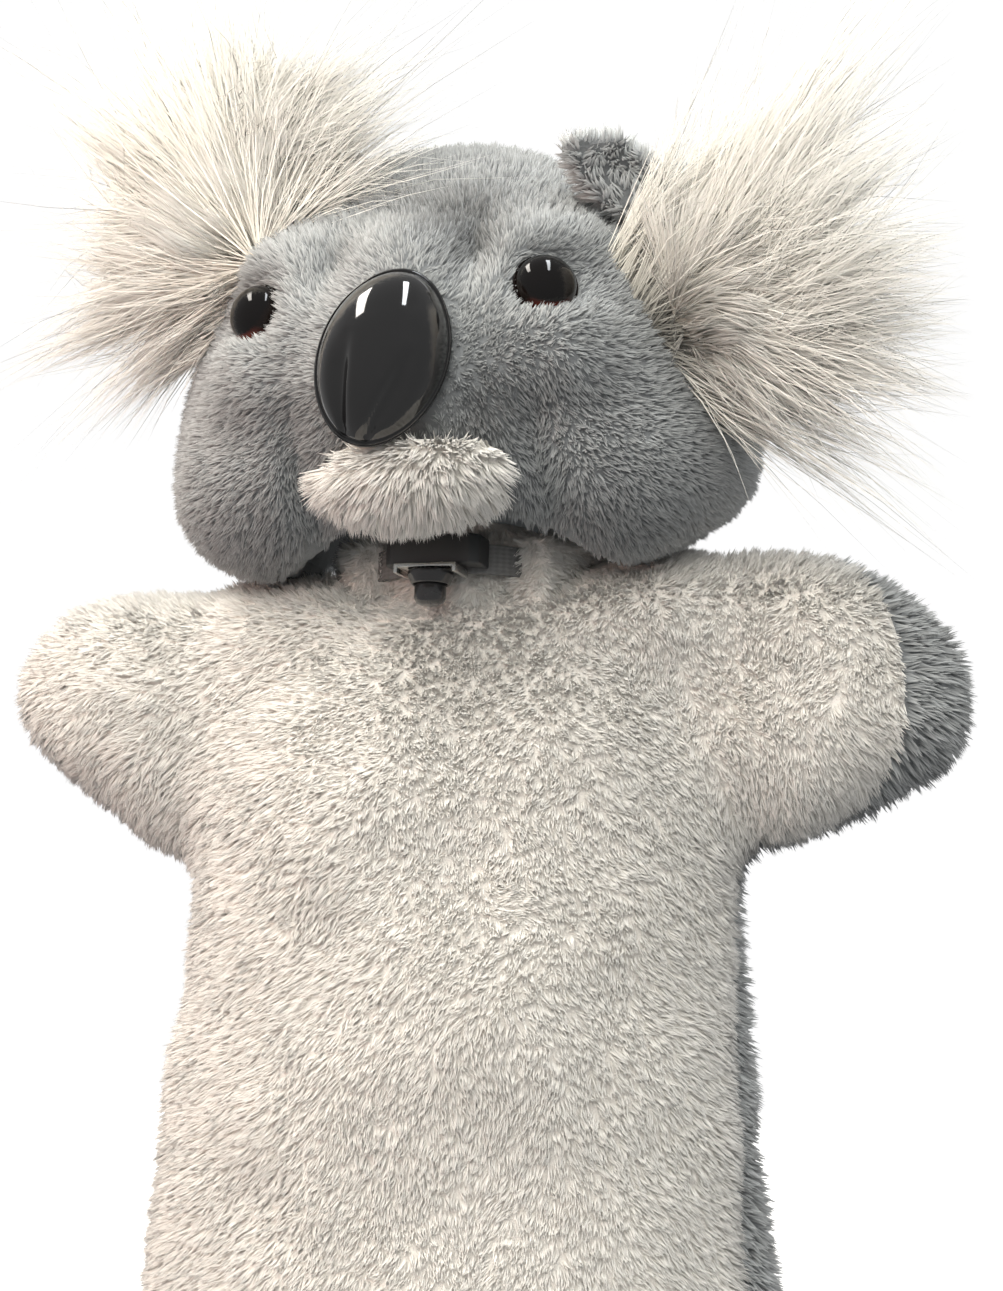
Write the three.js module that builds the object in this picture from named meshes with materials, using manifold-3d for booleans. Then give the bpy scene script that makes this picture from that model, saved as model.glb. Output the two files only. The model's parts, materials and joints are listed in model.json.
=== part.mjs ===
// A koala hand puppet: a plush glove with two finger arms and a stuffed head on a finger tube.
// Millimetres, +Z up. The origin is the middle of the open hem, and the glove faces -Y.
// Left and right are the puppet's own, so its left side is +X.

import * as THREE from 'three';
import { mergeVertices } from 'three/addons/utils/BufferGeometryUtils.js';
import Module from 'manifold-3d';

const wasm = await Module();
wasm.setup();

// Clearances
const GAP = 0.3;
const NECK_GAP = 0.5;

// Neck: a plush ball that the head turns and nods on, and the shoulders hang from
const NECK_HEIGHT = 188;
const NECK_RADIUS = 22;
const NECK_BORE = 14;

// Glove: half widths and half depths at its heights, over the pile. Drops are below the neck ball.
const HEM_HALF_WIDTH = 79;
const HEM_HALF_DEPTH = 46;
const WAIST_HEIGHT = 96;
const WAIST_HALF_WIDTH = 70;
const WAIST_HALF_DEPTH = 40;
const CHEST_DROP = 52;
const CHEST_HEIGHT = NECK_HEIGHT - CHEST_DROP;
const CHEST_HALF_WIDTH = 69;
const CHEST_HALF_DEPTH = 38;
const SHOULDER_DROP = 19;
const SHOULDER_HEIGHT = NECK_HEIGHT - SHOULDER_DROP;
const SHOULDER_HALF_WIDTH = 57;
const SHOULDER_HALF_DEPTH = 24;
const GLOVE_TOP_DROP = 12;
const GLOVE_TOP = NECK_HEIGHT - GLOVE_TOP_DROP;
const GLOVE_TOP_HALF_WIDTH = 34;
const GLOVE_TOP_HALF_DEPTH = 17;
const PLUSH_WALL = 6;
const SEAM_DEPTH = 4;

// Arms: stub lobes, from a root inside the glove to a round paw
const ARM_ROOT = 44;
const ARM_SWELL = 88;
const ARM_TIP = 120;
const ARM_ROOT_HALF_HEIGHT = 33;
const ARM_SWELL_HALF_HEIGHT = 34;
const ARM_ROOT_HALF_DEPTH = 21;
const ARM_SWELL_HALF_DEPTH = 25;
const ARM_ROOT_DROP = 40;
const ARM_ROOT_LEVEL = NECK_HEIGHT - ARM_ROOT_DROP;
const ARM_SWELL_DROP = 34;
const ARM_SWELL_LEVEL = NECK_HEIGHT - ARM_SWELL_DROP;
const ARM_HINGE_OUT = 58;
const ARM_HINGE_FORWARD = 18;
const ARM_SWING = 40;

// Head: sizes from the middle of the neck ball
const HEAD_HALF_WIDTH = 73;
const HEAD_FRONT_DEPTH = 55;
const HEAD_BACK_DEPTH = 50;
const JOWL_HEIGHT = 25;
const CROWN_HEIGHT = 102;
const HEAD_BOTTOM = -4;
const CHIN_LIFT = 10;
const CHIN_LIFT_REACH = 30;
const HEAD_COVER_WALL = 6;
const MUZZLE_HEIGHT = 44;
const MUZZLE_RISE = 10;
const MUZZLE_REACH = 26;
const CHIN_BACK = 12;
const CHIN_BACK_HEIGHT = 8;
const CHIN_BACK_REACH = 22;
const BROW_HEIGHT = 74;
const BROW_OUT = 27;
const BROW_RISE = 4;
const BROW_REACH = 15;
const FOREHEAD_DIP = 3;
const STRAP_RECESS_SLOPE = 29;

// Head pose on the neck, in degrees
const HEAD_TURN = -4;
const HEAD_NOD = 9;
const HEAD_TILT = -2;

// Finger tube
const TUBE_RADIUS = 13;
const TUBE_BORE = 11.5;
const TUBE_TOP = 84;

// Nose
const NOSE_HEIGHT = 44;
const NOSE_OUT = 2;
const NOSE_HALF_WIDTH = 14.5;
const NOSE_HALF_HEIGHT = 20.5;
const NOSE_RISE = 9;
const NOSE_BACK = 3;
const NOSE_LEAN = 8;
const NOSE_SINK = 2;
const NOSE_SHANK = 3.5;
const NOSE_SHANK_LENGTH = 14;
const NOSE_WASHER = 9;

// Eyes
const EYE_OUT = 35;
const EYE_HEIGHT = 59;
const EYE_RADIUS = 7.5;
const EYE_RISE = 5.5;
const EYE_RIM = 1.5;
const EYE_SINK = 2;
const EYE_SHANK = 2.5;
const EYE_SHANK_LENGTH = 12;
const EYE_WASHER = 6.5;
const WASHER_THICKNESS = 1.6;

// Chin patch
const CHIN_HEIGHT = 19;
const CHIN_HALF_WIDTH = 26;
const CHIN_HALF_HEIGHT = 13;
const CHIN_HALF_DEPTH = 12;
const CHIN_OUT = 4;

// Ears: leaf shapes whose roots lie on the sides of the head, the left one sewn on lower and flatter
const EAR_LEFT_HEIGHT = 52;
const EAR_LEFT_LIFT = 28;
const EAR_RIGHT_HEIGHT = 77;
const EAR_RIGHT_LIFT = 42;
const EAR_ROOT_FORWARD = 25;
const EAR_SPREAD = 27;
const EAR_LENGTH = 31;
const EAR_HALF_HEIGHT = 48;
const EAR_HALF_DEPTH = 10;
const EAR_BACK_LENGTH = 26;
const EAR_BACK_HALF_HEIGHT = 38;
const EAR_BACK_HALF_DEPTH = 6;
const EAR_BACK_OFFSET = 8;
const EAR_FOLD_FORWARD = 25;
const EAR_FOLD_BACK = 15;

// Neck strap with its block, plate and button
const STRAP_THICKNESS = 1.6;
const STRAP_LOW = -6;
const STRAP_HIGH = 1;
const BLOCK_WIDTH = 23;
const BLOCK_DEPTH = 6;
const BLOCK_LOW = -5;
const BLOCK_HIGH = 2;
const BLOCK_CHAMFER = 2;
const PLATE_WIDTH = 15;
const PLATE_DEPTH = 9.5;
const PLATE_THICKNESS = 0.9;
const PLATE_LIP = 2.2;
const BEZEL_RADIUS = 5.4;
const BEZEL_BORE = 4;
const BEZEL_HEIGHT = 3.2;
const BUTTON_LENGTH = 6.2;
const BUTTON_TRAVEL = 1.5;

// Fineness of the round forms
const AROUND = 28;
const ROUND_SMALL = 16;

const NECK_POINT = new THREE.Vector3(0, 0, NECK_HEIGHT);
const Y_AXIS = new THREE.Vector3(0, 1, 0);
const Z_AXIS = new THREE.Vector3(0, 0, 1);
const radians = THREE.MathUtils.degToRad;

// A geometry as a closed solid that can be cut, placed by a matrix
function solidOf(geometry, matrix = new THREE.Matrix4()) {
  const plain = geometry.clone().applyMatrix4(matrix);
  plain.deleteAttribute('normal');
  plain.deleteAttribute('uv');
  const merged = mergeVertices(plain, 1e-4);
  const corners = merged.index.array;
  const kept = [];
  for (let i = 0; i < corners.length; i += 3) {
    const [a, b, c] = [corners[i], corners[i + 1], corners[i + 2]];
    if (a !== b && b !== c && c !== a) kept.push(a, b, c);
  }
  return new wasm.Manifold(new wasm.Mesh({
    numProp: 3,
    vertProperties: new Float32Array(merged.attributes.position.array),
    triVerts: new Uint32Array(kept),
  }));
}

// A cut solid as a geometry again
function geometryOf(solid) {
  const mesh = solid.getMesh();
  const geometry = new THREE.BufferGeometry();
  geometry.setAttribute('position', new THREE.BufferAttribute(mesh.vertProperties, 3));
  geometry.setIndex(new THREE.BufferAttribute(mesh.triVerts, 1));
  geometry.computeVertexNormals();
  return geometry;
}

// A closed round form: place(row, angle) puts the points of a sphere's rows, its two ends included
function roundForm(rows, around, place) {
  const geometry = new THREE.SphereGeometry(1, around, rows);
  const points = geometry.attributes.position;
  for (let row = 0; row <= rows; row++) {
    for (let column = 0; column <= around; column++) {
      const angle = (column % around) / around * 2 * Math.PI;
      const point = place(row, angle);
      points.setXYZ(row * (around + 1) + column, point.x, point.y, point.z);
    }
  }
  return geometry;
}

// A lathe profile from [radius, height] pairs, turned about +Z
function turned(profile, around) {
  const outline = profile.map(([radius, height]) => new THREE.Vector2(radius, height));
  return new THREE.LatheGeometry(outline, around).rotateX(Math.PI / 2);
}

function moveTo(point) {
  return new THREE.Matrix4().makeTranslation(point.x, point.y, point.z);
}

function turnAbout(point, axis, degrees) {
  const turn = new THREE.Matrix4().makeRotationAxis(axis, radians(degrees));
  return moveTo(point).multiply(turn).multiply(moveTo(point.clone().negate()));
}

// The matrix that stands +Z of a small part along a direction at a point
function standOn(point, direction) {
  const turn = new THREE.Quaternion().setFromUnitVectors(Z_AXIS, direction);
  return new THREE.Matrix4().compose(point, turn, new THREE.Vector3(1, 1, 1));
}

// A solid cut so that it stays clear of a neighbour in each of the neighbour's relative places
function clearOf(solid, neighbour, places) {
  let cut = solid;
  for (const place of places) cut = cut.subtract(solidOf(neighbour, place));
  return cut;
}

// Glove form, grown outward by an offset, from its top down to a hem height
function gloveForm(grow, hem) {
  const stations = new THREE.CatmullRomCurve3([
    new THREE.Vector3(GLOVE_TOP_HALF_WIDTH + grow, GLOVE_TOP_HALF_DEPTH + grow, GLOVE_TOP + grow),
    new THREE.Vector3(
      SHOULDER_HALF_WIDTH + grow, SHOULDER_HALF_DEPTH + grow, SHOULDER_HEIGHT + grow / 2),
    new THREE.Vector3(CHEST_HALF_WIDTH + grow, CHEST_HALF_DEPTH + grow, CHEST_HEIGHT),
    new THREE.Vector3(WAIST_HALF_WIDTH + grow, WAIST_HALF_DEPTH + grow, WAIST_HEIGHT),
    new THREE.Vector3(HEM_HALF_WIDTH + grow, HEM_HALF_DEPTH + grow, hem),
  ]);
  const rows = 11;
  return roundForm(rows, AROUND, (row, angle) => {
    if (row === 0) return new THREE.Vector3(0, 0, GLOVE_TOP + grow);
    if (row === rows) return new THREE.Vector3(0, 0, hem);
    const station = stations.getPoint((row - 1) / (rows - 2));
    return new THREE.Vector3(-station.x * Math.cos(angle), -station.y * Math.sin(angle), station.z);
  });
}

// Arm form on one side, grown outward by an offset, with its root end moved to a chosen place
function armForm(side, grow, root) {
  const tipRows = 6;
  const rootRows = 3;
  const rows = tipRows + rootRows + 1;
  return roundForm(rows, ROUND_SMALL, (row, angle) => {
    const bend = Math.min(row / tipRows, 1) * Math.PI / 2;
    const along = THREE.MathUtils.clamp((row - tipRows) / rootRows, 0, 1);
    const taper = THREE.MathUtils.smoothstep(along, 0, 1);
    const reach = ARM_TIP + grow - ARM_SWELL;
    const out = row <= tipRows
      ? ARM_SWELL + reach * Math.cos(bend)
      : THREE.MathUtils.lerp(ARM_SWELL, root, along);
    const size = row > tipRows + rootRows ? 0 : Math.sin(bend);
    const high = THREE.MathUtils.lerp(ARM_SWELL_HALF_HEIGHT, ARM_ROOT_HALF_HEIGHT, taper) + grow;
    const deep = THREE.MathUtils.lerp(ARM_SWELL_HALF_DEPTH, ARM_ROOT_HALF_DEPTH, taper) + grow;
    const level = THREE.MathUtils.mapLinear(out, ARM_ROOT, ARM_SWELL, ARM_ROOT_LEVEL, ARM_SWELL_LEVEL);
    return new THREE.Vector3(
      side * out,
      side * deep * size * Math.sin(angle),
      level - high * size * Math.cos(angle),
    );
  });
}

// A soft rise over a point of the face, 1 at its middle
function swell(out, up, reach) {
  return Math.exp(-(out * out + up * up) / (reach * reach));
}

// Head form, grown outward by an offset: a pear with wide jowls, a muzzle and two brows
function headForm(grow, rows, around) {
  return roundForm(rows, around, (row, angle) => {
    const turn = row / rows * Math.PI;
    const height = Math.cos(turn);
    const above = height > 0;
    const rise = above ? CROWN_HEIGHT - JOWL_HEIGHT : JOWL_HEIGHT - HEAD_BOTTOM;
    const width = Math.pow(Math.sin(turn), above ? 1 : 0.8);
    const lift = above ? height : -Math.pow(-height, 0.8);
    const depth = Math.sin(angle) > 0 ? HEAD_FRONT_DEPTH : HEAD_BACK_DEPTH;
    const point = new THREE.Vector3(
      -(HEAD_HALF_WIDTH + grow) * width * Math.cos(angle),
      -(depth + grow) * width * Math.sin(angle),
      JOWL_HEIGHT + (rise + grow) * lift,
    );
    const front = Math.max(Math.sin(angle), 0) * width;
    if (!above) point.z -= CHIN_LIFT * front * lift * swell(point.x, 0, CHIN_LIFT_REACH);
    const brows = swell(Math.abs(point.x) - BROW_OUT, point.z - BROW_HEIGHT, BROW_REACH);
    point.y -= front * MUZZLE_RISE * swell(point.x, point.z - MUZZLE_HEIGHT, MUZZLE_REACH);
    point.y -= front * BROW_RISE * brows;
    point.y += front * FOREHEAD_DIP * swell(point.x, point.z - BROW_HEIGHT, BROW_REACH);
    point.y += front * CHIN_BACK * swell(point.x, point.z - CHIN_BACK_HEIGHT, CHIN_BACK_REACH);
    return point;
  });
}

// The point of the head's face and its outward direction, straight behind a place in front of it
const HEAD_ROWS = 18;
const face = new THREE.Mesh(
  headForm(0, HEAD_ROWS, AROUND),
  new THREE.MeshStandardMaterial({ side: THREE.DoubleSide }),
);
function facePoint(out, up) {
  const from = new THREE.Vector3(out, -2 * HEAD_HALF_WIDTH, up);
  const hit = new THREE.Raycaster(from, Y_AXIS).intersectObject(face)[0];
  return { point: hit.point, direction: hit.face.normal.clone() };
}

// How deep below a stud's rim the inner face of the cover lies, at the worst place under a washer
const LINING_ROWS = 10;
const LINING_AROUND = 20;
const lining = new THREE.Mesh(
  headForm(-HEAD_COVER_WALL, LINING_ROWS, LINING_AROUND),
  new THREE.MeshStandardMaterial({ side: THREE.DoubleSide }),
);
function liningDepth(place, radius) {
  const inward = new THREE.Vector3(0, 0, -1).transformDirection(place);
  let deepest = 0;
  for (let step = 0; step < 8; step++) {
    const turn = step / 8 * 2 * Math.PI;
    const rim = new THREE.Vector3(radius * Math.cos(turn), radius * Math.sin(turn), 0);
    const hit = new THREE.Raycaster(rim.applyMatrix4(place), inward).intersectObject(lining)[0];
    deepest = Math.max(deepest, hit.distance);
  }
  return deepest;
}

// A moulded stud: a dome over a rim, with a shank behind it, standing along +Z from the rim's back
function stud(rim, rise, radius, shank, shankLength, grow) {
  const steps = 6;
  const profile = [[0, -shankLength - grow], [shank + grow, -shankLength - grow]];
  profile.push([shank + grow, -grow], [radius + grow, -grow], [radius + grow, rim]);
  for (let step = 1; step <= steps; step++) {
    const turn = step / steps * Math.PI / 2;
    const dome = (rise + grow) * Math.sin(turn);
    profile.push([step === steps ? 0 : (radius + grow) * Math.cos(turn), rim + dome]);
  }
  return turned(profile, ROUND_SMALL);
}

// A lock washer on a shank
function washer(radius, shank) {
  const [low, high] = [0, WASHER_THICKNESS];
  const bore = shank + GAP;
  return turned([[bore, low], [radius, low], [radius, high], [bore, high], [bore, low]], ROUND_SMALL);
}

// The pocket that a shank and its washer need in the stuffing
function washerPocket(radius, depth) {
  return new THREE.CylinderGeometry(radius + GAP, radius + GAP, 2 * depth, ROUND_SMALL)
    .rotateX(Math.PI / 2);
}

// Materials
function material(color, roughness, metalness = 0) {
  return new THREE.MeshStandardMaterial({ color, roughness, metalness });
}
const WHITE_PLUSH = [0xece9e1, 0.9];
const GREY_PLUSH = [0x9aa0a8, 0.9];
const CREAM_HAIR = [0xf1ead8, 0.8];
const GLOSS_BLACK = [0x0b0b0c, 0.15];
const AMBER = [0x6a2d14, 0.1];
const WASHER_PLASTIC = [0xe6e4da, 0.5];
const FIBRE = [0xf4f4f0, 1];
const CARD = [0xb89b72, 0.9];
const STRAP_GREY = [0x8f9294, 0.7];
const BLOCK_GREY = [0x3a3d40, 0.6];
const STEEL = [0xb9b8b2, 0.35, 0.9];

const koala = new THREE.Group();
koala.name = 'koala_hand_puppet';

function addPart(parent, name, geometry, finish, matrix = new THREE.Matrix4()) {
  const mesh = new THREE.Mesh(geometry, material(...finish));
  mesh.name = name;
  mesh.applyMatrix4(matrix);
  parent.add(mesh);
  return mesh;
}

// Front and back halves of the seam, each half a gap from it
const HALF_SPAN = 400;
function seamHalf(front) {
  const middle = SEAM_DEPTH + (front ? -1 : 1) * (HALF_SPAN + GAP) / 2;
  return solidOf(new THREE.BoxGeometry(HALF_SPAN, HALF_SPAN, 2 * HALF_SPAN).translate(0, middle, 0));
}
const frontHalf = seamHalf(true);
const backHalf = seamHalf(false);

// Head group on the neck, with the pose of the head
const neck = new THREE.Group();
neck.name = 'neck';
neck.position.copy(NECK_POINT);
neck.rotation.z = radians(HEAD_TURN);
koala.add(neck);
const head = new THREE.Group();
head.name = 'head';
head.rotation.set(radians(HEAD_NOD), radians(HEAD_TILT), 0);
neck.add(head);
koala.updateMatrixWorld(true);

// Glove: a hollow form with the neck ball on it, open at the hem, the neck and the arms
const cavity = solidOf(gloveForm(-PLUSH_WALL, -PLUSH_WALL));
const neckBall = solidOf(new THREE.SphereGeometry(NECK_RADIUS, AROUND, 12), moveTo(NECK_POINT));
const channel = solidOf(
  new THREE.CylinderGeometry(NECK_BORE, NECK_BORE, NECK_HEIGHT, ROUND_SMALL)
    .rotateX(Math.PI / 2)
    .translate(0, 0, NECK_HEIGHT),
);
let glove = solidOf(gloveForm(0, 0)).add(neckBall).subtract(cavity).subtract(channel);
for (const side of [1, -1]) {
  glove = glove.subtract(solidOf(armForm(side, -PLUSH_WALL, ARM_ROOT)));
}
addPart(koala, 'body_front', geometryOf(glove.intersect(frontHalf)), WHITE_PLUSH);
addPart(koala, 'body_back', geometryOf(glove.intersect(backHalf)), GREY_PLUSH);

// Arms: hollow lobes, cut to clear the glove while they swing
const gloveSpace = gloveForm(GAP, 0);
for (const [name, side] of [['left', 1], ['right', -1]]) {
  const hinge = new THREE.Vector3(side * ARM_HINGE_OUT, -ARM_HINGE_FORWARD, 0);
  const swings = [0, ARM_SWING / 3, ARM_SWING * 2 / 3, ARM_SWING]
    .map((angle) => turnAbout(hinge, Z_AXIS, side * angle));
  const lobe = solidOf(armForm(side, 0, ARM_ROOT))
    .subtract(solidOf(armForm(side, -PLUSH_WALL, ARM_ROOT - PLUSH_WALL)));
  const arm = clearOf(lobe, gloveSpace, swings);
  addPart(koala, `arm_front_${name}`, geometryOf(arm.intersect(frontHalf)), WHITE_PLUSH);
  addPart(koala, `arm_back_${name}`, geometryOf(arm.intersect(backHalf)), GREY_PLUSH);
}

// Neck strap round the ball: its two radii, the front of its block and the place of its plate
const strapIn = NECK_RADIUS + NECK_GAP;
const strapOut = strapIn + STRAP_THICKNESS;
const blockFront = -strapOut - GAP - BLOCK_DEPTH;
const plateTop = BLOCK_LOW - GAP;
const plateBack = -strapOut - GAP;
const plateFront = plateBack - PLATE_DEPTH;

// Space round the neck ball that the head leaves free, with room for the strap while it nods
const recessRadius = Math.hypot(plateFront, PLATE_WIDTH / 2, plateTop - PLATE_LIP) + NECK_GAP;
const recess = [[0, -recessRadius]];
const recessSteps = 8;
for (let step = 1; step <= recessSteps; step++) {
  const turn = radians(THREE.MathUtils.lerp(-90, STRAP_RECESS_SLOPE, step / recessSteps));
  recess.push([recessRadius * Math.cos(turn), recessRadius * Math.sin(turn)]);
}
recess.push([0, 0]);
const socket = solidOf(new THREE.SphereGeometry(NECK_RADIUS + NECK_GAP, AROUND, 12))
  .add(solidOf(turned(recess, AROUND)));

// Finger tube, upright in the tilted head
const upright = new THREE.Matrix4().makeRotationFromEuler(head.rotation).invert();
const tubeForm = turned(
  [[TUBE_BORE, 0], [TUBE_RADIUS, 0], [TUBE_RADIUS, TUBE_TOP], [TUBE_BORE, TUBE_TOP], [TUBE_BORE, 0]],
  ROUND_SMALL,
);
const tubeSpace = new THREE.CylinderGeometry(TUBE_RADIUS + GAP, TUBE_RADIUS + GAP, TUBE_TOP + GAP, ROUND_SMALL)
  .rotateX(Math.PI / 2)
  .translate(0, 0, (TUBE_TOP + GAP) / 2);
addPart(head, 'finger_tube', geometryOf(solidOf(tubeForm, upright).subtract(socket)), CARD);

// Nose and eyes: studs sunk in the pile of the face, held by washers inside the cover
const studs = [];
const noseSeat = facePoint(NOSE_OUT, NOSE_HEIGHT);
const noseWide = NOSE_HALF_WIDTH / NOSE_HALF_HEIGHT;
const noseStud = (grow) => stud(
  NOSE_BACK, NOSE_RISE, NOSE_HALF_HEIGHT, NOSE_SHANK, NOSE_SHANK_LENGTH, grow)
  .scale(noseWide, 1, 1)
  .rotateZ(-radians(NOSE_LEAN));
studs.push({
  name: 'nose', form: noseStud, seat: noseSeat, sink: NOSE_SINK, finish: GLOSS_BLACK,
  washer: NOSE_WASHER, shank: NOSE_SHANK, length: NOSE_SHANK_LENGTH, washerName: 'nose_washer',
});
const eyeStud = (grow) => stud(EYE_RIM, EYE_RISE, EYE_RADIUS, EYE_SHANK, EYE_SHANK_LENGTH, grow);
for (const [name, side] of [['left', 1], ['right', -1]]) {
  studs.push({
    name: `eye_${name}`, form: eyeStud, seat: facePoint(side * EYE_OUT, EYE_HEIGHT), sink: EYE_SINK,
    finish: AMBER, washer: EYE_WASHER, shank: EYE_SHANK, length: EYE_SHANK_LENGTH,
    washerName: `eye_washer_${name}`,
  });
}

// Head cover over its stuffing, cut for the neck, the tube, the studs and the washers
const headSolid = solidOf(headForm(0, HEAD_ROWS, AROUND));
let stuffing = solidOf(headForm(-HEAD_COVER_WALL - GAP, LINING_ROWS, LINING_AROUND)).subtract(socket);
let cover = headSolid.subtract(solidOf(lining.geometry)).subtract(socket);
stuffing = stuffing.subtract(solidOf(tubeSpace, upright));
for (const item of studs) {
  const sunk = item.seat.point.clone().addScaledVector(item.seat.direction, -item.sink);
  const place = standOn(sunk, item.seat.direction);
  const washerDepth = liningDepth(place, item.washer) + GAP + WASHER_THICKNESS;
  const washerPlace = place.clone().multiply(moveTo(new THREE.Vector3(0, 0, -washerDepth)));
  cover = cover.subtract(solidOf(item.form(GAP), place));
  stuffing = stuffing.subtract(solidOf(washerPocket(item.washer, item.length + GAP), place));
  addPart(head, item.name, item.form(0), item.finish, place);
  addPart(head, item.washerName, washer(item.washer, item.shank), WASHER_PLASTIC, washerPlace);
}
addPart(head, 'head_cover', geometryOf(cover), GREY_PLUSH);
addPart(head, 'head_stuffing', geometryOf(stuffing), FIBRE);

// Chin patch, a puff against the front of the head
const chinSeat = facePoint(CHIN_OUT, CHIN_HEIGHT);
const headSpace = headForm(GAP, HEAD_ROWS, AROUND);
const chinForm = new THREE.SphereGeometry(1, ROUND_SMALL, 10)
  .scale(CHIN_HALF_WIDTH, CHIN_HALF_DEPTH, CHIN_HALF_HEIGHT);
const noseSpace = solidOf(
  noseStud(GAP),
  standOn(noseSeat.point.clone().addScaledVector(noseSeat.direction, -NOSE_SINK), noseSeat.direction),
);
const chin = solidOf(chinForm, moveTo(chinSeat.point)).subtract(solidOf(headSpace)).subtract(noseSpace);
addPart(head, 'chin_patch', geometryOf(chin), WHITE_PLUSH);

// Ears: a long-haired front on a short grey back, cut to clear the head while they fold
for (const [name, side, rootHeight, liftAngle] of [
  ['left', 1, EAR_LEFT_HEIGHT, EAR_LEFT_LIFT],
  ['right', -1, EAR_RIGHT_HEIGHT, EAR_RIGHT_LIFT],
]) {
  const lift = radians(liftAngle);
  const outward = new THREE.Vector3(side * Math.cos(lift), 0, Math.sin(lift));
  const foldAxis = new THREE.Vector3(Math.sin(lift), 0, -side * Math.cos(lift));
  const sideways = new THREE.Raycaster(
    new THREE.Vector3(side * 2 * HEAD_HALF_WIDTH, -EAR_ROOT_FORWARD, rootHeight),
    new THREE.Vector3(-side, 0, 0),
  );
  const root = sideways.intersectObject(face)[0].point;
  const folds = [0, EAR_FOLD_FORWARD, EAR_FOLD_FORWARD / 2, -EAR_FOLD_BACK / 2, -EAR_FOLD_BACK]
    .map((angle) => turnAbout(root, foldAxis, -angle));
  const leaf = (length, depth, height, back, grow) => new THREE.SphereGeometry(1, ROUND_SMALL, 10)
    .scale(length + grow, depth + grow, height + grow)
    .rotateY(-side * lift)
    .translate(root.x + outward.x * EAR_SPREAD, root.y + back, root.z + outward.z * EAR_SPREAD);
  const front = leaf(EAR_LENGTH, EAR_HALF_DEPTH, EAR_HALF_HEIGHT, 0, 0);
  const frontSpace = leaf(EAR_LENGTH, EAR_HALF_DEPTH, EAR_HALF_HEIGHT, 0, GAP);
  const back = leaf(EAR_BACK_LENGTH, EAR_BACK_HALF_DEPTH, EAR_BACK_HALF_HEIGHT, EAR_BACK_OFFSET, 0);
  const earFront = clearOf(solidOf(front), headSpace, folds);
  const earBack = clearOf(solidOf(back).subtract(solidOf(frontSpace)), headSpace, folds);
  addPart(head, `ear_front_${name}`, geometryOf(earFront), CREAM_HAIR);
  addPart(head, `ear_back_${name}`, geometryOf(earBack), GREY_PLUSH);
}

// Neck strap with a block on its front
addPart(neck, 'neck_strap', turned(
  [
    [strapIn, STRAP_LOW], [strapOut, STRAP_LOW], [strapOut, STRAP_HIGH], [strapIn, STRAP_HIGH],
    [strapIn, STRAP_LOW],
  ],
  AROUND,
), STRAP_GREY);
const blockShape = new THREE.Shape();
blockShape.moveTo(-BLOCK_WIDTH / 2 + BLOCK_CHAMFER, blockFront);
blockShape.lineTo(BLOCK_WIDTH / 2 - BLOCK_CHAMFER, blockFront);
blockShape.lineTo(BLOCK_WIDTH / 2, blockFront + BLOCK_CHAMFER);
blockShape.lineTo(BLOCK_WIDTH / 2, -strapIn / 2);
blockShape.lineTo(-BLOCK_WIDTH / 2, -strapIn / 2);
blockShape.lineTo(-BLOCK_WIDTH / 2, blockFront + BLOCK_CHAMFER);
const blockForm = new THREE.ExtrudeGeometry(blockShape, { depth: BLOCK_HIGH - BLOCK_LOW, bevelEnabled: false })
  .translate(0, 0, BLOCK_LOW);
const strapSpace = new THREE.CylinderGeometry(strapOut + GAP, strapOut + GAP, 4 * BLOCK_WIDTH, AROUND)
  .rotateX(Math.PI / 2);
addPart(neck, 'strap_block', geometryOf(solidOf(blockForm).subtract(solidOf(strapSpace))), BLOCK_GREY);

// Folded plate under the block, lips turned down at its two sides
const plateShape = new THREE.Shape();
plateShape.moveTo(-PLATE_WIDTH / 2, plateTop);
plateShape.lineTo(-PLATE_WIDTH / 2, plateTop - PLATE_LIP);
plateShape.lineTo(-PLATE_WIDTH / 2 + PLATE_THICKNESS, plateTop - PLATE_LIP);
plateShape.lineTo(-PLATE_WIDTH / 2 + PLATE_THICKNESS, plateTop - PLATE_THICKNESS);
plateShape.lineTo(PLATE_WIDTH / 2 - PLATE_THICKNESS, plateTop - PLATE_THICKNESS);
plateShape.lineTo(PLATE_WIDTH / 2 - PLATE_THICKNESS, plateTop - PLATE_LIP);
plateShape.lineTo(PLATE_WIDTH / 2, plateTop - PLATE_LIP);
plateShape.lineTo(PLATE_WIDTH / 2, plateTop);
addPart(neck, 'clip_plate', new THREE.ExtrudeGeometry(plateShape, { depth: PLATE_DEPTH, bevelEnabled: false })
  .rotateX(Math.PI / 2)
  .translate(0, plateBack, 0), STEEL);

// Button under the plate: a bezel ring and the plunger that slides up in it
const buttonPoint = new THREE.Vector3(0, plateBack - PLATE_DEPTH / 2, plateTop - PLATE_THICKNESS - GAP);
addPart(neck, 'button_bezel', turned(
  [
    [BEZEL_BORE, -BEZEL_HEIGHT], [BEZEL_RADIUS, -BEZEL_HEIGHT], [BEZEL_RADIUS, 0], [BEZEL_BORE, 0],
    [BEZEL_BORE, -BEZEL_HEIGHT],
  ],
  ROUND_SMALL,
), GLOSS_BLACK, moveTo(buttonPoint));
const buttonRadius = BEZEL_BORE - GAP;
const buttonTop = -BUTTON_TRAVEL - GAP;
const buttonProfile = [];
const buttonSteps = 6;
for (let step = 0; step <= buttonSteps; step++) {
  const turn = step / buttonSteps * Math.PI / 2;
  const radius = step === 0 ? 0 : buttonRadius * Math.sin(turn);
  buttonProfile.push([radius, buttonTop - BUTTON_LENGTH + buttonRadius * (1 - Math.cos(turn))]);
}
buttonProfile.push([buttonRadius, buttonTop], [0, buttonTop]);
addPart(neck, 'push_button', turned(buttonProfile, ROUND_SMALL), GLOSS_BLACK, moveTo(buttonPoint));

export default koala;
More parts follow.
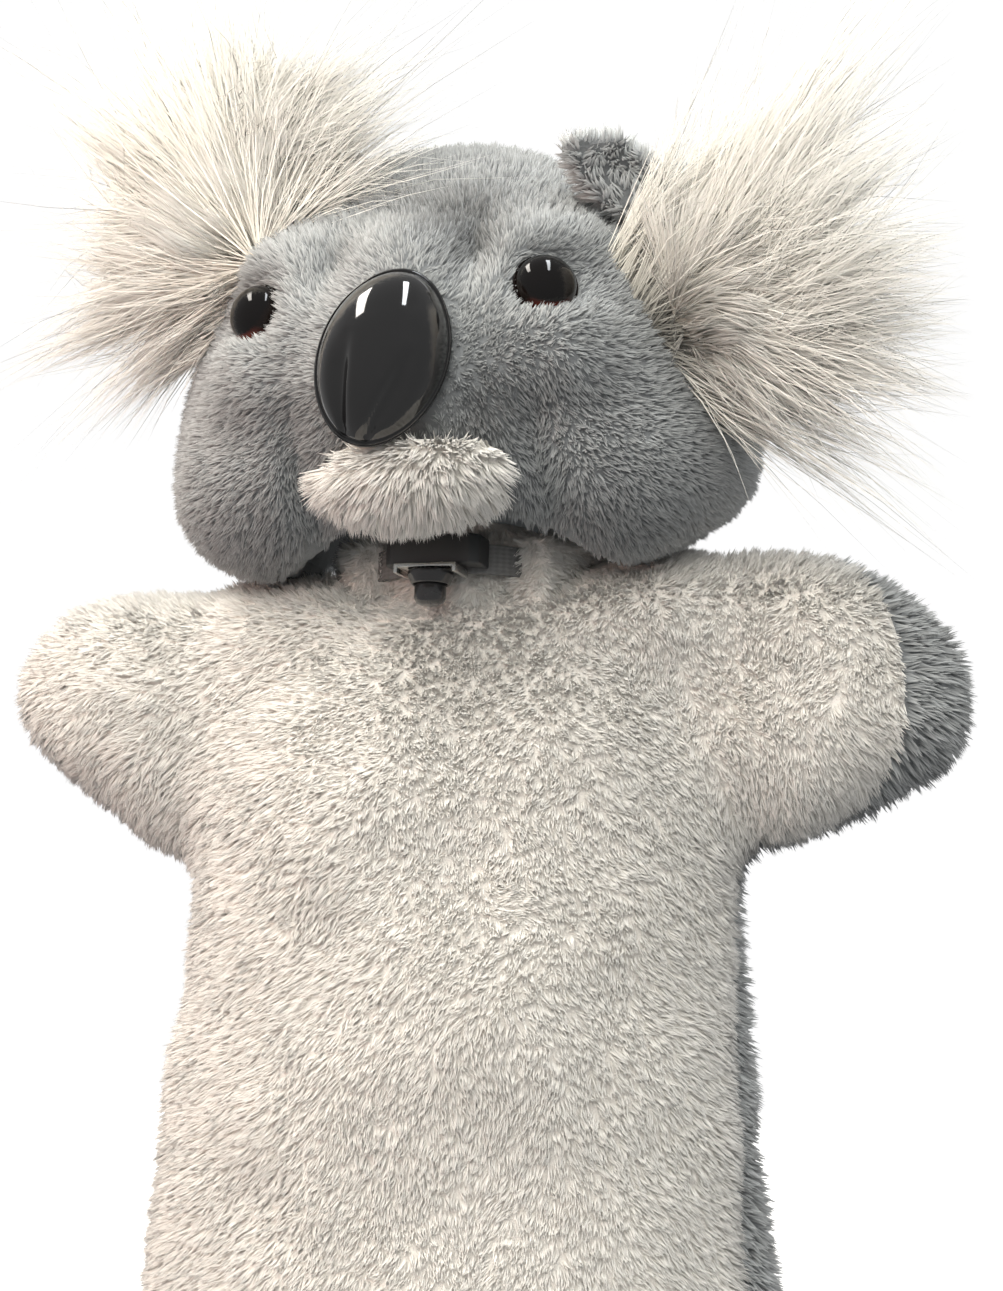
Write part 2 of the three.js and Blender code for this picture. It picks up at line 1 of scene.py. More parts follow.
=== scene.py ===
import itertools
import json
import math
from types import SimpleNamespace

import bmesh
import bpy
import numpy as np
from mathutils import Matrix, Vector
from mathutils.kdtree import KDTree


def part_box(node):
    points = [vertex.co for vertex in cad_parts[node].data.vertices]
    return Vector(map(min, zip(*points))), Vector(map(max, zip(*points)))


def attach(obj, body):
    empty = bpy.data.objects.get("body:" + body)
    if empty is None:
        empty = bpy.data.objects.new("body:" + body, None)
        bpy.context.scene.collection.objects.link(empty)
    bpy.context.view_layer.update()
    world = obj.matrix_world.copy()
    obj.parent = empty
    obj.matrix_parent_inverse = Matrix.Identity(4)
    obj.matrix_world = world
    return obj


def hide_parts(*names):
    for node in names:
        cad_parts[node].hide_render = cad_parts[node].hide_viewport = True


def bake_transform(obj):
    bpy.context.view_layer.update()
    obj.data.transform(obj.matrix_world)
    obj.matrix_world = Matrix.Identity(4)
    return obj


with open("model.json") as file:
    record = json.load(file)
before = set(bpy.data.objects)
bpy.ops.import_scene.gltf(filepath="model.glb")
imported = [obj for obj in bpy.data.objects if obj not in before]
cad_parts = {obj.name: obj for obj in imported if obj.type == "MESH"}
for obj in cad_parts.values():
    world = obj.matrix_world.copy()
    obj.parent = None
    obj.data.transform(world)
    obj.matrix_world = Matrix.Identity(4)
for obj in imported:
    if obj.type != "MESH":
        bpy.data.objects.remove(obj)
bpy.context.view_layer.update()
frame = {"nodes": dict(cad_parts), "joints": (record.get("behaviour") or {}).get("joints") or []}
scene = bpy.context.scene
MM = 0.001

# Sizes in millimetres. The glove's body: height, half width and half depth
GLOVE = (
    (180, 23, 15), (176.5, 38, 18.5), (168, 55, 24), (156, 61.5, 29.5),
    (136, 65, 34), (96, 66, 36), (40, 71, 39), (-6, 76, 42),
)
# The neck's ball: height and radius
NECK = (188, 19)
# Arms: distance out, level, half height and half depth
LEFT_ARM = (
    (30, 151, 28, 14), (50, 154, 33, 17), (66, 155, 34, 19), (79, 155, 34, 21),
    (91, 156.5, 29.5, 21), (102, 156, 23, 18), (111, 155, 17, 14), (117, 154.5, 9, 8),
)
RIGHT_ARM = (
    (30, 148, 26, 14), (50, 149, 29, 17), (66, 149, 32, 19), (76, 149.5, 32.5, 21),
    (88, 154, 27, 20.5), (99, 157, 21.5, 17.5), (108, 157, 14.5, 12), (113, 156.5, 8, 7),
)
# Shoulders: the middle and half sizes of each swell
SHOULDERS = (
    ((44, 1, 168), (35, 22, 22.5)), ((-42, 1, 164), (33, 22, 22)),
    ((28, -1, 170), (18, 20, 13)), ((-31, -1, 170), (18, 20, 15)),
)
# The side seam: its distance behind the middle, its slant across and its tilt, at a level
SEAM = (7.15, -0.03, 0.12)
SEAM_LEVEL = 150
ARM_ROOT = 60
ARM_SLANTS = {1: -0.05, -1: 0.05}
# The cut, a point and a direction, where the grey back panel wraps round the left arm's tip
TIP_CUT = ((108, -17, 155), (-0.8, -1, 0))
HEM = 1.5
# The armhole's upper and lower end, out and up
ARMHOLE = ((46, 185), (72, 110))
HEAD_PILE = 3.4
# How far the ears' hair may reach
SIDE_REACH = 122
FRONT_REACH = 80
TOP_REACH = 333
# How the head is turned, nodded and tilted at rest, in degrees
HEAD_TURN = -4
HEAD_NOD = 9
HEAD_TILT = -2
NECK_PLACE = Matrix.Translation((0, 0, NECK[0] * MM)) @ Matrix.Rotation(math.radians(HEAD_TURN), 4, "Z")
HEAD_PLACE = (
    NECK_PLACE
    @ Matrix.Rotation(math.radians(HEAD_NOD), 4, "X")
    @ Matrix.Rotation(math.radians(HEAD_TILT), 4, "Y")
)


# Shader wiring
class Wire:
    """An output socket. Arithmetic on it makes Math nodes."""

    def __init__(self, tree, socket):
        self.tree = tree
        self.socket = socket

    def make(self, kind, settings, inputs, output=0):
        node = self.tree.nodes.new(kind)
        for name, value in settings.items():
            setattr(node, name, value)
        for key, value in inputs.items():
            if isinstance(value, Wire):
                self.tree.links.new(value.socket, node.inputs[key])
            else:
                node.inputs[key].default_value = value
        return Wire(self.tree, node.outputs[output])

    def math(self, operation, *values):
        return self.make("ShaderNodeMath", {"operation": operation}, dict(enumerate(values)))

    def __add__(self, other):
        return self.math("ADD", self, other)

    __radd__ = __add__

    def __sub__(self, other):
        return self.math("SUBTRACT", self, other)

    def __rsub__(self, other):
        return self.math("SUBTRACT", other, self)

    def __mul__(self, other):
        return self.math("MULTIPLY", self, other)

    __rmul__ = __mul__

    def __truediv__(self, other):
        return self.math("DIVIDE", self, other)

    def __pow__(self, other):
        return self.math("POWER", self, other)

    def sine(self):
        return self.math("SINE", self)

    def step(self, low, high):
        """0 below low, 1 above high, smooth between them."""
        return self.make(
            "ShaderNodeMapRange",
            {"interpolation_type": "SMOOTHSTEP"},
            {"Value": self, "From Min": low, "From Max": high},
        )

    def mix(self, low, high):
        """The colour low where this is 0 and high where it is 1."""
        return self.make("ShaderNodeMix", {"data_type": "RGBA"}, {0: self, 6: low, 7: high}, 2)

    def shade(self, amount):
        """This colour times an amount."""
        return self.make(
            "ShaderNodeMix",
            {"data_type": "RGBA", "blend_type": "MULTIPLY"},
            {0: 1.0, 6: self, 7: amount},
            2,
        )


class Surface:
    """A Principled material and the wires that its patterns start from."""

    def __init__(self, name):
        self.material = bpy.data.materials.new(name)
        self.material.use_nodes = True
        self.tree = self.material.node_tree
        self.start = Wire(self.tree, None)
        self.principled = next(n for n in self.tree.nodes if n.type == "BSDF_PRINCIPLED")

    def place(self):
        return self.start.make("ShaderNodeTexCoord", {}, {}, 3)

    def attribute(self, name):
        return self.start.make("ShaderNodeAttribute", {"attribute_name": name}, {}, 2)

    def noise(self, scale, detail=2.0):
        return self.start.make(
            "ShaderNodeTexNoise", {}, {"Vector": self.place(), "Scale": scale, "Detail": detail}
        )

    def bump(self, height, strength, distance):
        return self.start.make(
            "ShaderNodeBump", {}, {"Height": height, "Strength": strength, "Distance": distance}
        )

    def finish(self, **inputs):
        for key, value in inputs.items():
            socket = self.principled.inputs[key.replace("_", " ")]
            if isinstance(value, Wire):
                self.tree.links.new(value.socket, socket)
            else:
                socket.default_value = value
        return self.material


def rgb(red, green, blue):
    return (red, green, blue, 1.0)


def times(colour, share):
    """A colour made lighter or darker."""
    return rgb(*(part * share for part in colour[:3]))


def pile_material(name, root, tip, low, rough):
    """Pile that runs from a root colour to a tip colour, each lock a little lighter or darker at random, and
    darker or lighter where painted shade or painted light is given.
    """
    s = Surface(name)
    along = s.attribute("along")
    tone_and_shade = s.attribute("tone_and_shade")
    patch = s.noise(28.0).step(0.3, 0.7)
    colour = (along ** 0.8).mix(root, tip)
    return s.finish(
        Base_Color=colour.shade(low + (1.0 - low) * tone_and_shade + 0.08 * patch),
        Roughness=rough,
        Specular_IOR_Level=0.35,
        Sheen_Weight=0.25,
        Sheen_Roughness=0.5,
    )


def cloth_material(name, colour, dark):
    """Knitted backing cloth, with a fine grain and a soft mottle."""
    s = Surface(name)
    mottle = s.noise(60.0, 4.0)
    knit = s.noise(1400.0, 1.0)
    return s.finish(
        Base_Color=mottle.step(0.35, 0.65).mix(dark, colour),
        Roughness=0.9,
        Normal=s.bump(knit, 0.4, 0.0004),
    )


def gloss_material(name, colour, rough):
    """Moulded gloss plastic, with faint rubbed patches in its shine."""
    s = Surface(name)
    rub = s.noise(90.0, 5.0).step(0.45, 0.75)
    haze = s.noise(420.0, 3.0)
    return s.finish(
        Base_Color=rub.mix(colour, times(colour, 1.5)),
        Roughness=rough + 0.08 * rub + 0.03 * haze,
        Specular_IOR_Level=0.5,
        Coat_Weight=0.5,
        Coat_Roughness=0.04,
    )


def plain_material(name, colour, rough, metal, grain, depth):
    """Plastic, card or metal with a fine grain."""
    s = Surface(name)
    mottle = s.noise(grain, 4.0)
    fine = s.noise(grain * 12.0, 2.0)
    return s.finish(
        Base_Color=mottle.mix(times(colour, 0.82), colour),
        Roughness=rough - 0.08 + 0.16 * mottle,
        Metallic=metal,
        Normal=s.bump(fine, 0.35, depth),
    )


RIBS_PER_RADIAN = 90.0
ROW_PITCH = 6000.0


def webbing_material(name, colour):
    """Woven tape: ribs along it and rows across its width."""
    s = Surface(name)
    across, deep, high = (s.start.make("ShaderNodeSeparateXYZ", {}, {0: s.place()}, i) for i in range(3))
    ribs = (s.start.math("ARCTAN2", deep, across) * RIBS_PER_RADIAN).sine() * 0.5 + 0.5
    rows = (high * ROW_PITCH).sine() * 0.5 + 0.5
    weave = ribs * 0.6 + rows * 0.4
    return s.finish(
        Base_Color=weave.mix(times(colour, 0.8), colour),
        Roughness=0.7,
        Normal=s.bump(weave, 0.5, 0.0003),
    )


PUPIL_LIFT = 0.10


def eye_material(name, centre, axis, up, radius):
    """A wide black pupil in an iris painted near black above and red-brown along its lower edge, painted light
    as if falling through the dome.
    """
    s = Surface(name)
    middle = s.start.make(
        "ShaderNodeVectorMath", {"operation": "SUBTRACT"}, {0: s.place(), 1: tuple(centre)}
    )

    def along(direction):
        return s.start.make(
            "ShaderNodeVectorMath", {"operation": "DOT_PRODUCT"}, {0: middle, 1: tuple(direction)}, 1
        ) / radius

    across = Vector(up).cross(Vector(axis)).normalized()
    high = along(Vector(axis).cross(across))
    side = along(across)
    lift = high - PUPIL_LIFT
    out = s.start.math("SQRT", side * side + lift * lift)
    fleck = s.noise(900.0, 3.0)
    # Painted light: the iris's own red-brown shows only along its lower edge, where light through the dome
    # would light it; above, it is painted dark as in shade
    glow = (0.0 - high).step(0.5, 0.95)
    iris = glow.mix(rgb(0.008, 0.005, 0.004), rgb(0.12, 0.018, 0.010))
    colour = (out + 0.05 * fleck).step(0.86, 0.96).mix(rgb(0.004, 0.0035, 0.0035), iris)
    return s.finish(Base_Color=colour, Roughness=0.06, Specular_IOR_Level=0.3)


WHITE_PILE = pile_material("white_pile", rgb(0.69, 0.665, 0.61), rgb(0.91, 0.898, 0.865), 0.82, 0.5)
GREY_PILE = pile_material("grey_pile", rgb(0.17, 0.18, 0.187), rgb(0.58, 0.603, 0.61), 0.62, 0.42)
CREAM_HAIR = pile_material("cream_hair", rgb(0.87, 0.83, 0.74), rgb(0.98, 0.965, 0.925), 0.88, 0.42)
WHITE_CLOTH = cloth_material("white_cloth", rgb(0.78, 0.75, 0.71), rgb(0.70, 0.67, 0.63))
GREY_CLOTH = cloth_material("grey_cloth", rgb(0.22, 0.232, 0.24), rgb(0.18, 0.19, 0.197))
LINING = cloth_material("lining", rgb(0.46, 0.45, 0.44), rgb(0.36, 0.35, 0.34))
CREAM_CLOTH = cloth_material("cream_cloth", rgb(0.80, 0.75, 0.67), rgb(0.70, 0.64, 0.56))
GLOSS_BLACK = gloss_material("gloss_black", rgb(0.006, 0.006, 0.0065), 0.05)
BUTTON_BLACK = gloss_material("button_black", rgb(0.014, 0.014, 0.015), 0.22)
BLOCK = plain_material("block", rgb(0.028, 0.031, 0.033), 0.45, 0.0, 300.0, 0.0001)
STEEL = plain_material("steel", rgb(0.62, 0.62, 0.60), 0.26, 1.0, 240.0, 0.00004)
WEBBING = webbing_material("webbing", rgb(0.17, 0.172, 0.17))
CARD = plain_material("card", rgb(0.50, 0.37, 0.22), 0.85, 0.0, 180.0, 0.0002)
WASHER = plain_material("washer", rgb(0.80, 0.80, 0.77), 0.4, 0.0, 200.0, 0.00005)


# Mesh helpers
def vectors_of(mesh, key):
    values = np.empty(len(mesh.vertices) * 3)
    mesh.vertices.foreach_get(key, values)
    return values.reshape(-1, 3)


def points_of(mesh):
    return vectors_of(mesh, "co")


def normals_of(mesh):
    return vectors_of(mesh, "normal")


def put_points(mesh, places):
    mesh.vertices.foreach_set("co", np.ascontiguousarray(places, dtype=np.float32).ravel())
    mesh.update()


def shown(name, bm, materials):
    """A smooth-shaded object made from a bmesh."""
    mesh = bpy.data.meshes.new(name)
    bm.to_mesh(mesh)
    bm.free()
    for material in materials:
        mesh.materials.append(material)
    mesh.shade_smooth()
    obj = bpy.data.objects.new(name, mesh)
    scene.collection.objects.link(obj)
    return obj


def add_piece(name, bm, *materials):
    """An object made from a closed bmesh, with its faces turned outward."""
    bmesh.ops.recalc_face_normals(bm, faces=bm.faces)
    return shown(name, bm, materials)


def copy_of(*nodes):
    """A bmesh of these CAD nodes' meshes, with doubled points joined."""
    bm = bmesh.new()
    for node in nodes:
        bm.from_mesh(frame["nodes"][node].data)
    bmesh.ops.remove_doubles(bm, verts=bm.verts, dist=1e-6)
    return bm


def apply_modifiers(obj):
    mesh = bpy.data.meshes.new_from_object(obj.evaluated_get(bpy.context.evaluated_depsgraph_get()))
    old = obj.data
    obj.modifiers.clear()
    obj.data = mesh
    bpy.data.meshes.remove(old)


def modify(obj, name, kind, **settings):
    modifier = obj.modifiers.new(name, kind)
    for key, value in settings.items():
        setattr(modifier, key, value)


def remesh(obj, size, rounds):
    """One closed skin over the object at a voxel size, its largest shell alone, smoothed."""
    modify(obj, "skin", "REMESH", mode="VOXEL", voxel_size=size * MM)
    apply_modifiers(obj)
    bm = bmesh.new()
    bm.from_mesh(obj.data)
    left = set(bm.verts)
    shells = []
    while left:
        shell = [left.pop()]
        for vert in shell:
            others = {edge.other_vert(vert) for edge in vert.link_edges} & left
            left -= others
            shell.extend(others)
        shells.append(shell)
    shells.sort(key=len)
    loose = [vert for shell in shells[:-1] for vert in shell]
    bmesh.ops.delete(bm, geom=loose, context="VERTS")
    bm.to_mesh(obj.data)
    bm.free()
    smooth(obj, rounds)


def smooth(obj, rounds):
    modify(obj, "even", "SMOOTH", factor=0.5, iterations=rounds)
    apply_modifiers(obj)


def subdivide(obj, levels):
    modify(obj, "finer", "SUBSURF", levels=levels, render_levels=levels)
    apply_modifiers(obj)


def offset(obj, amount):
    """The skin moved along its normals."""
    put_points(obj.data, points_of(obj.data) + normals_of(obj.data) * amount * MM)


PUFF_STEPS = 20
PUFF_CLOTH = {
    "quality": 4,
    "mass": 0.15,
    "tension_stiffness": 12,
    "compression_stiffness": 12,
    "shear_stiffness": 4,
    "bending_stiffness": 0.4,
    "use_pressure": True,
    "uniform_pressure_force": 4,
}


def puff(obj, pinned, most):
    """The skin filled out by a short cloth simulation, held where pinned is 1 and moved by less than most."""
    before = points_of(obj.data)
    group = obj.vertex_groups.new(name="held")
    for index, weight in enumerate(pinned):
        group.add([index], float(weight), "REPLACE")
    cloth = obj.modifiers.new("puff", "CLOTH")
    for key, value in PUFF_CLOTH.items():
        setattr(cloth.settings, key, value)
    cloth.settings.vertex_group_mass = group.name
    cloth.settings.effector_weights.gravity = 0
    cloth.collision_settings.use_collision = False
    cloth.point_cache.frame_start = 1
    cloth.point_cache.frame_end = PUFF_STEPS
    for step in range(1, PUFF_STEPS + 1):
        scene.frame_set(step)
    apply_modifiers(obj)
    scene.frame_set(1)
    obj.vertex_groups.clear()
    move = points_of(obj.data) - before
    size = np.linalg.norm(move, axis=1, keepdims=True)
    limit = most * MM
    put_points(obj.data, before + move * limit / (size + limit))


def spline(rows, count):
    """Points on a smooth curve through rows."""
    rows = np.array(rows, float)
    ends = np.vstack((2 * rows[0] - rows[1], rows, 2 * rows[-1] - rows[-2]))
    out = []
    for t in np.linspace(0, len(rows) - 1, count):
        i = min(int(t), len(rows) - 2)
        f = t - i
        a, b, c, d = ends[i : i + 4]
        square = 2 * a - 5 * b + 4 * c - d
        cube = 3 * b - a - 3 * c + d
        out.append(0.5 * (2 * b + (c - a) * f + square * f**2 + cube * f**3))
    return np.array(out)


RING_POINTS = 48


def loft(bm, rings):
    """A closed solid through rings of (middle, half axis, other half axis), in millimetres."""
    loops = []
    for middle, across, along in rings:
        normal = Vector(across).cross(Vector(along)).normalized()
        place = Matrix((Vector(across) * MM, Vector(along) * MM, normal)).transposed().to_4x4()
        place.translation = Vector(middle) * MM
        made = bmesh.ops.create_circle(bm, segments=RING_POINTS, radius=1, matrix=place)
        loops.append(list({edge for vert in made["verts"] for edge in vert.link_edges}))
    for first, second in zip(loops, loops[1:]):
        bmesh.ops.bridge_loops(bm, edges=first + second)
    for loop in (loops[0], loops[-1]):
        bmesh.ops.contextual_create(bm, geom=loop)


def part_of(obj, name, cuts, *materials):
    """A copy of the skin kept on the far side of each cut, a (point, direction) pair in millimetres."""
    bm = bmesh.new()
    bm.from_mesh(obj.data)
    for point, direction in cuts:
        bmesh.ops.bisect_plane(
            bm,
            geom=bm.verts[:] + bm.edges[:] + bm.faces[:],
            plane_co=Vector(point) * MM,
            plane_no=Vector(direction),
            clear_inner=True,
        )
    return shown(name, bm, materials)


def joined(first, second):
    """Two pieces of one skin sewn into the first."""
    bm = bmesh.new()
    for piece in (first, second):
        bm.from_mesh(piece.data)
    bmesh.ops.remove_doubles(bm, verts=bm.verts, dist=1e-6)
    bm.to_mesh(first.data)
    bm.free()
    bpy.data.objects.remove(second)
    return first


def backed(piece, thickness):
    """The skin given a thickness inward, lined with its second material."""
    modify(
        piece, "wall", "SOLIDIFY", thickness=thickness * MM, offset=-1, material_offset=1, material_offset_rim=1
    )


# Pile
def ease(share):
    """A share from 0 to 1 with soft ends."""
    return share * share * (3 - 2 * share)


def wander(places, spacing, seed):
    """A smooth random direction at each place, turning over about one spacing."""
    cells = (places - places.min(axis=0)) / (spacing * MM)
    base = np.floor(cells).astype(int)
    part = ease(cells - base)
    lattice = np.random.default_rng(seed).normal(size=(*(base.max(axis=0) + 2), 3))
    total = np.zeros_like(places)
    for corner in itertools.product((0, 1), repeat=3):
        at = base + corner
        weight = np.prod(np.where(np.array(corner) == 1, part, 1 - part), axis=1)
        total += weight[:, None] * lattice[at[:, 0], at[:, 1], at[:, 2]]
    return total


def unit(vectors):
    return vectors / np.maximum(np.linalg.norm(vectors, axis=-1, keepdims=True), 1e-12)


def scatter(obj, per_mm2, keep, random):
    """Random places on a mesh and their normals, where keep(places, normals) is above a random share."""
    mesh = obj.data
    mesh.calc_loop_triangles()
    corners = np.empty(len(mesh.loop_triangles) * 3, int)
    mesh.loop_triangles.foreach_get("vertices", corners)
    corners = corners.reshape(-1, 3)
    places, normals = points_of(mesh), normals_of(mesh)
    a, b, c = (places[corners[:, i]] for i in range(3))
    areas = np.linalg.norm(np.cross(b - a, c - a), axis=1) / 2
    count = int(areas.sum() / MM**2 * per_mm2)
    picked = random.choice(len(corners), count, p=areas / areas.sum())
    u, v = random.random((2, count))
    u, v = np.where(u + v > 1, (1 - u, 1 - v), (u, v))
    share = np.stack((1 - u - v, u, v), axis=1)[:, :, None]
    at = (places[corners[picked]] * share).sum(axis=1)
    out = unit((normals[corners[picked]] * share).sum(axis=1))
    kept = keep(at, out) > random.random(count)
    return at[kept], out[kept]


LOCK_SWELL = 1.1


def lock_shape(cuts):
    """The points and faces of one tapering three-sided lock of unit length, cut at some lengths."""
    bm = bmesh.new()
    bmesh.ops.create_cone(
        bm, cap_ends=True, segments=3, radius1=1, radius2=0, depth=1, matrix=Matrix.Translation((0, 0, 0.5))
    )
    for cut in cuts:
        bmesh.ops.bisect_plane(
            bm, geom=bm.verts[:] + bm.edges[:] + bm.faces[:], plane_co=(0, 0, cut), plane_no=(0, 0, 1)
        )
    bmesh.ops.remove_doubles(bm, verts=bm.verts, dist=1e-6)
    bmesh.ops.triangulate(bm, faces=bm.faces)
    bm.verts.index_update()
    points = np.array([vert.co for vert in bm.verts])
    faces = np.array([[vert.index for vert in face.verts] for face in bm.faces])
    bm.free()
    points[:, :2] *= 1 + LOCK_SWELL * points[:, 2:]
    return points, faces


SHORT_LOCK = lock_shape(())
LONG_LOCK = lock_shape((0.33, 0.67))
# The most faces in one piece, and the share of a lock's shading that is its skin's
MOST_FACES = 180000
SKIN_SHARE = 0.62


def grow(name, shape, roots, outs, heads, bends, lengths, widths, random, material, shade=None, fade=0):
    """Locks from roots along heads, bent towards bends, and lit mostly as a skin that faces outs."""
    points, faces = shape
    order = np.argsort(roots[:, 0], kind="stable")
    shares = math.ceil(len(order) * len(faces) / MOST_FACES)
    pieces = []
    for number, part in enumerate(np.array_split(order, shares)):
        head = unit(heads[part])
        side = unit(np.cross(head, random.normal(size=head.shape)))
        other = np.cross(head, side)
        long = lengths[part][:, None]
        wide = widths[part][:, None]
        at = (
            roots[part][:, None, :]
            + (side * wide)[:, None, :] * points[None, :, 0:1]
            + (other * wide)[:, None, :] * points[None, :, 1:2]
            + (head * long)[:, None, :] * points[None, :, 2:3]
            + (bends[part] * long)[:, None, :] * points[None, :, 2:3] ** 2
        )
        corners = (faces[None] + np.arange(len(part))[:, None, None] * len(points)).reshape(-1)
        mesh = bpy.data.meshes.new(f"{name}_{number}")
        mesh.vertices.add(len(part) * len(points))
        mesh.loops.add(len(corners))
        mesh.polygons.add(len(corners) // 3)
        mesh.vertices.foreach_set("co", at.astype(np.float32).ravel())
        mesh.loops.foreach_set("vertex_index", corners.astype(np.int32))
        mesh.polygons.foreach_set("loop_start", np.arange(0, len(corners), 3, dtype=np.int32))
        mesh.update(calc_edges=True)
        mesh.shade_smooth()
        round_off = side[:, None, :] * points[None, :, 0:1] + other[:, None, :] * points[None, :, 1:2]
        facing = unit(outs[part][:, None, :] * SKIN_SHARE + unit(round_off) * (1 - SKIN_SHARE))
        mesh.normals_split_custom_set_from_vertices(facing.reshape(-1, 3))
        tone_and_shade = np.repeat(random.random(len(part)), len(points))
        # Painted shade, where given, is taken off each lock's random tone and fades from root to tip by the
        # power fade; a negative amount is painted light
        if shade is not None:
            tone_and_shade = tone_and_shade - np.outer(shade[part], (1 - points[:, 2]) ** fade).ravel()
        for key, values in (("along", np.tile(points[:, 2], len(part))), ("tone_and_shade", tone_and_shade)):
            layer = mesh.attributes.new(key, "FLOAT", "POINT")
            layer.data.foreach_set("value", values.astype(np.float32))
        mesh.materials.append(material)
        piece = bpy.data.objects.new(mesh.name, mesh)
        scene.collection.objects.link(piece)
        pieces.append(piece)
    return pieces


def nearest(places, centres):
    """For each place, which of the centres is nearest."""
    tree = KDTree(len(centres))
    for index, centre in enumerate(centres):
        tree.insert(centre, index)
    tree.balance()
    return np.array([tree.find(place)[1] for place in places])


# Pile: (spacing, amount) of the drifts in its lie, then (lowest, spread) of what varies from lock to lock
DRIFTS = ((18, 0.25), (8, 0.32))
LENGTHS = (0.75, 0.4)
TUFT_LENGTHS = (0.85, 0.3)
PULLS = (0.15, 0.55)
WIDTHS = (0.6, 0.8)
SCRUFF = 0.16
TUFT_SPREAD = 0.35
ROOT_DEPTH = 0.5
FLOOR_GAP = 0.5


def vary(random, size, low, spread):
    return low + spread * random.random(size)


def pile(
    name, skin, material, per_mm2, length, width, lean, comb, keep, seed, trim=None, tuft=2.4, shade=None
):
    """Short plush in tufts, combed along comb(places, normals), with trim(places) times its length."""
    random = np.random.default_rng(seed)
    at, out = scatter(skin, per_mm2, keep, random)
    size = len(at)
    way = comb(at, out) + sum(
        wander(at, spacing, seed + number) * amount for number, (spacing, amount) in enumerate(DRIFTS, 1)
    )
    way = unit(way - out * (way * out).sum(axis=1, keepdims=True))
    tall = length * MM * vary(random, size, *LENGTHS)
    if trim is not None:
        tall *= trim(at)
    heads = unit(out + way * lean + random.normal(size=at.shape) * SCRUFF)
    middles = random.choice(size, max(1, int(size / (per_mm2 * tuft**2))), replace=False)
    mine = middles[nearest(at, at[middles])]
    tall *= vary(random, size, *TUFT_LENGTHS)[mine]
    tips = at + heads * tall[:, None]
    loose = tips[mine] + random.normal(size=(size, 3)) * TUFT_SPREAD * MM
    bends = (loose - tips) / tall[:, None] * vary(random, (size, 1), *PULLS)
    drop = np.maximum(-(heads + bends)[:, 2] * tall, 1e-9)
    tall *= np.clip((at[:, 2] - FLOOR_GAP * MM) / drop, 0, 1)
    wide = width * MM * vary(random, size, *WIDTHS)
    roots = at - out * ROOT_DEPTH * MM
    # shade(places) gives the painted shade at each root, or painted light where it is negative
    dark = None if shade is None else shade(at)
    return grow(name, SHORT_LOCK, roots, out, heads, bends, tall, wide, random, material, dark)


# Glove: one skin for body, arms and neck, then cut into its panels
def off_seam(places):
    """How far behind the side seam each place is, in millimetres."""
    behind, slant, tilt = SEAM
    x, y, z = places.T
    past = np.clip(np.abs(x) - ARM_ROOT, 0, None) * (z > 100)
    line = behind + slant * x + tilt * (z - SEAM_LEVEL)
    return y - line - past * np.where(x > 0, ARM_SLANTS[1] - slant, slant - ARM_SLANTS[-1])


GLOVE_VOXEL = 4.0
MOST_PUFF = 3.0
SEAM_DEPTH = 2.2
# (spacing, amount, seed) of the cloth's slow waves
WAVES = ((42, 2.0, 5), (15, 0.5, 6))


def glove_skin():
    bm = bmesh.new()
    loft(bm, [((0, 0, z), (w, 0, 0), (0, d, 0)) for z, w, d in spline(GLOVE, 24)])
    for side, rows in ((1, LEFT_ARM), (-1, RIGHT_ARM)):
        loft(bm, [
            ((side * out, 0, level), (0, deep, 0), (0, 0, high * side))
            for out, level, high, deep in spline(rows, 22)
        ])
    height, radius = NECK
    for middle, half in (((0, 0, height), (radius, radius, radius)), *SHOULDERS):
        place = Matrix.Translation(Vector(middle) * MM) @ Matrix.Diagonal((*(Vector(half) * MM), 1))
        bmesh.ops.create_uvsphere(bm, u_segments=40, v_segments=24, radius=1, matrix=place)
    skin = add_piece("glove_skin", bm)
    remesh(skin, GLOVE_VOXEL, 12)
    places = points_of(skin.data) / MM
    x, y, z = places.T
    by_hem = np.clip((8 - z) / 6, 0, 1)
    by_neck = np.clip((z - 172) / 8, 0, 1) * (np.hypot(x, y) < 30)
    by_seam = np.exp(-((off_seam(places) / 3) ** 2))
    puff(skin, np.maximum(np.maximum(by_hem, by_neck), by_seam), MOST_PUFF)
    subdivide(skin, 1)
    places = points_of(skin.data)
    sway = sum(wander(places, spacing, seed)[:, :1] * amount for spacing, amount, seed in WAVES)
    seam = np.exp(-((off_seam(places / MM) / 3.2) ** 2))[:, None]
    calm = np.clip((176 - places[:, 2:3] / MM) / 12, 0, 1)
    put_points(skin.data, places + normals_of(skin.data) * (sway - SEAM_DEPTH * seam) * calm * MM)
    return skin


def armhole(side):
    """A point of the plane where an arm meets the body, and its direction along the arm."""
    (top_x, top_z), (low_x, low_z) = ARMHOLE
    middle = Vector((side * (top_x + low_x) / 2, 0, (top_z + low_z) / 2))
    return middle, Vector((side * (top_z - low_z), 0, low_x - top_x)).normalized()


def seam_cut(side, ahead):
    """The seam plane of the body, side 0, or of an arm, as a cut that keeps what is ahead or behind."""
    behind, slant, tilt = SEAM
    point = (side * ARM_ROOT, behind + slant * side * ARM_ROOT, SEAM_LEVEL)
    way = Vector((ARM_SLANTS.get(side, slant), -1, tilt))
    return point, tuple(way if ahead else -way)


# The cuts at the hem and at the neck
OPEN = [((0, 0, HEM), (0, 0, 1)), ((0, 0, NECK[0] + 8), (0, 0, -1))]


def everywhere(places, normals):
    return np.ones(len(places))


def body_comb(places, normals):
    """Down the body, a little outward."""
    way = np.zeros_like(places)
    way[:, 2] = -1
    way[:, 0] = 0.25 * np.clip(places[:, 0] / (60 * MM), -1, 1)
    return way


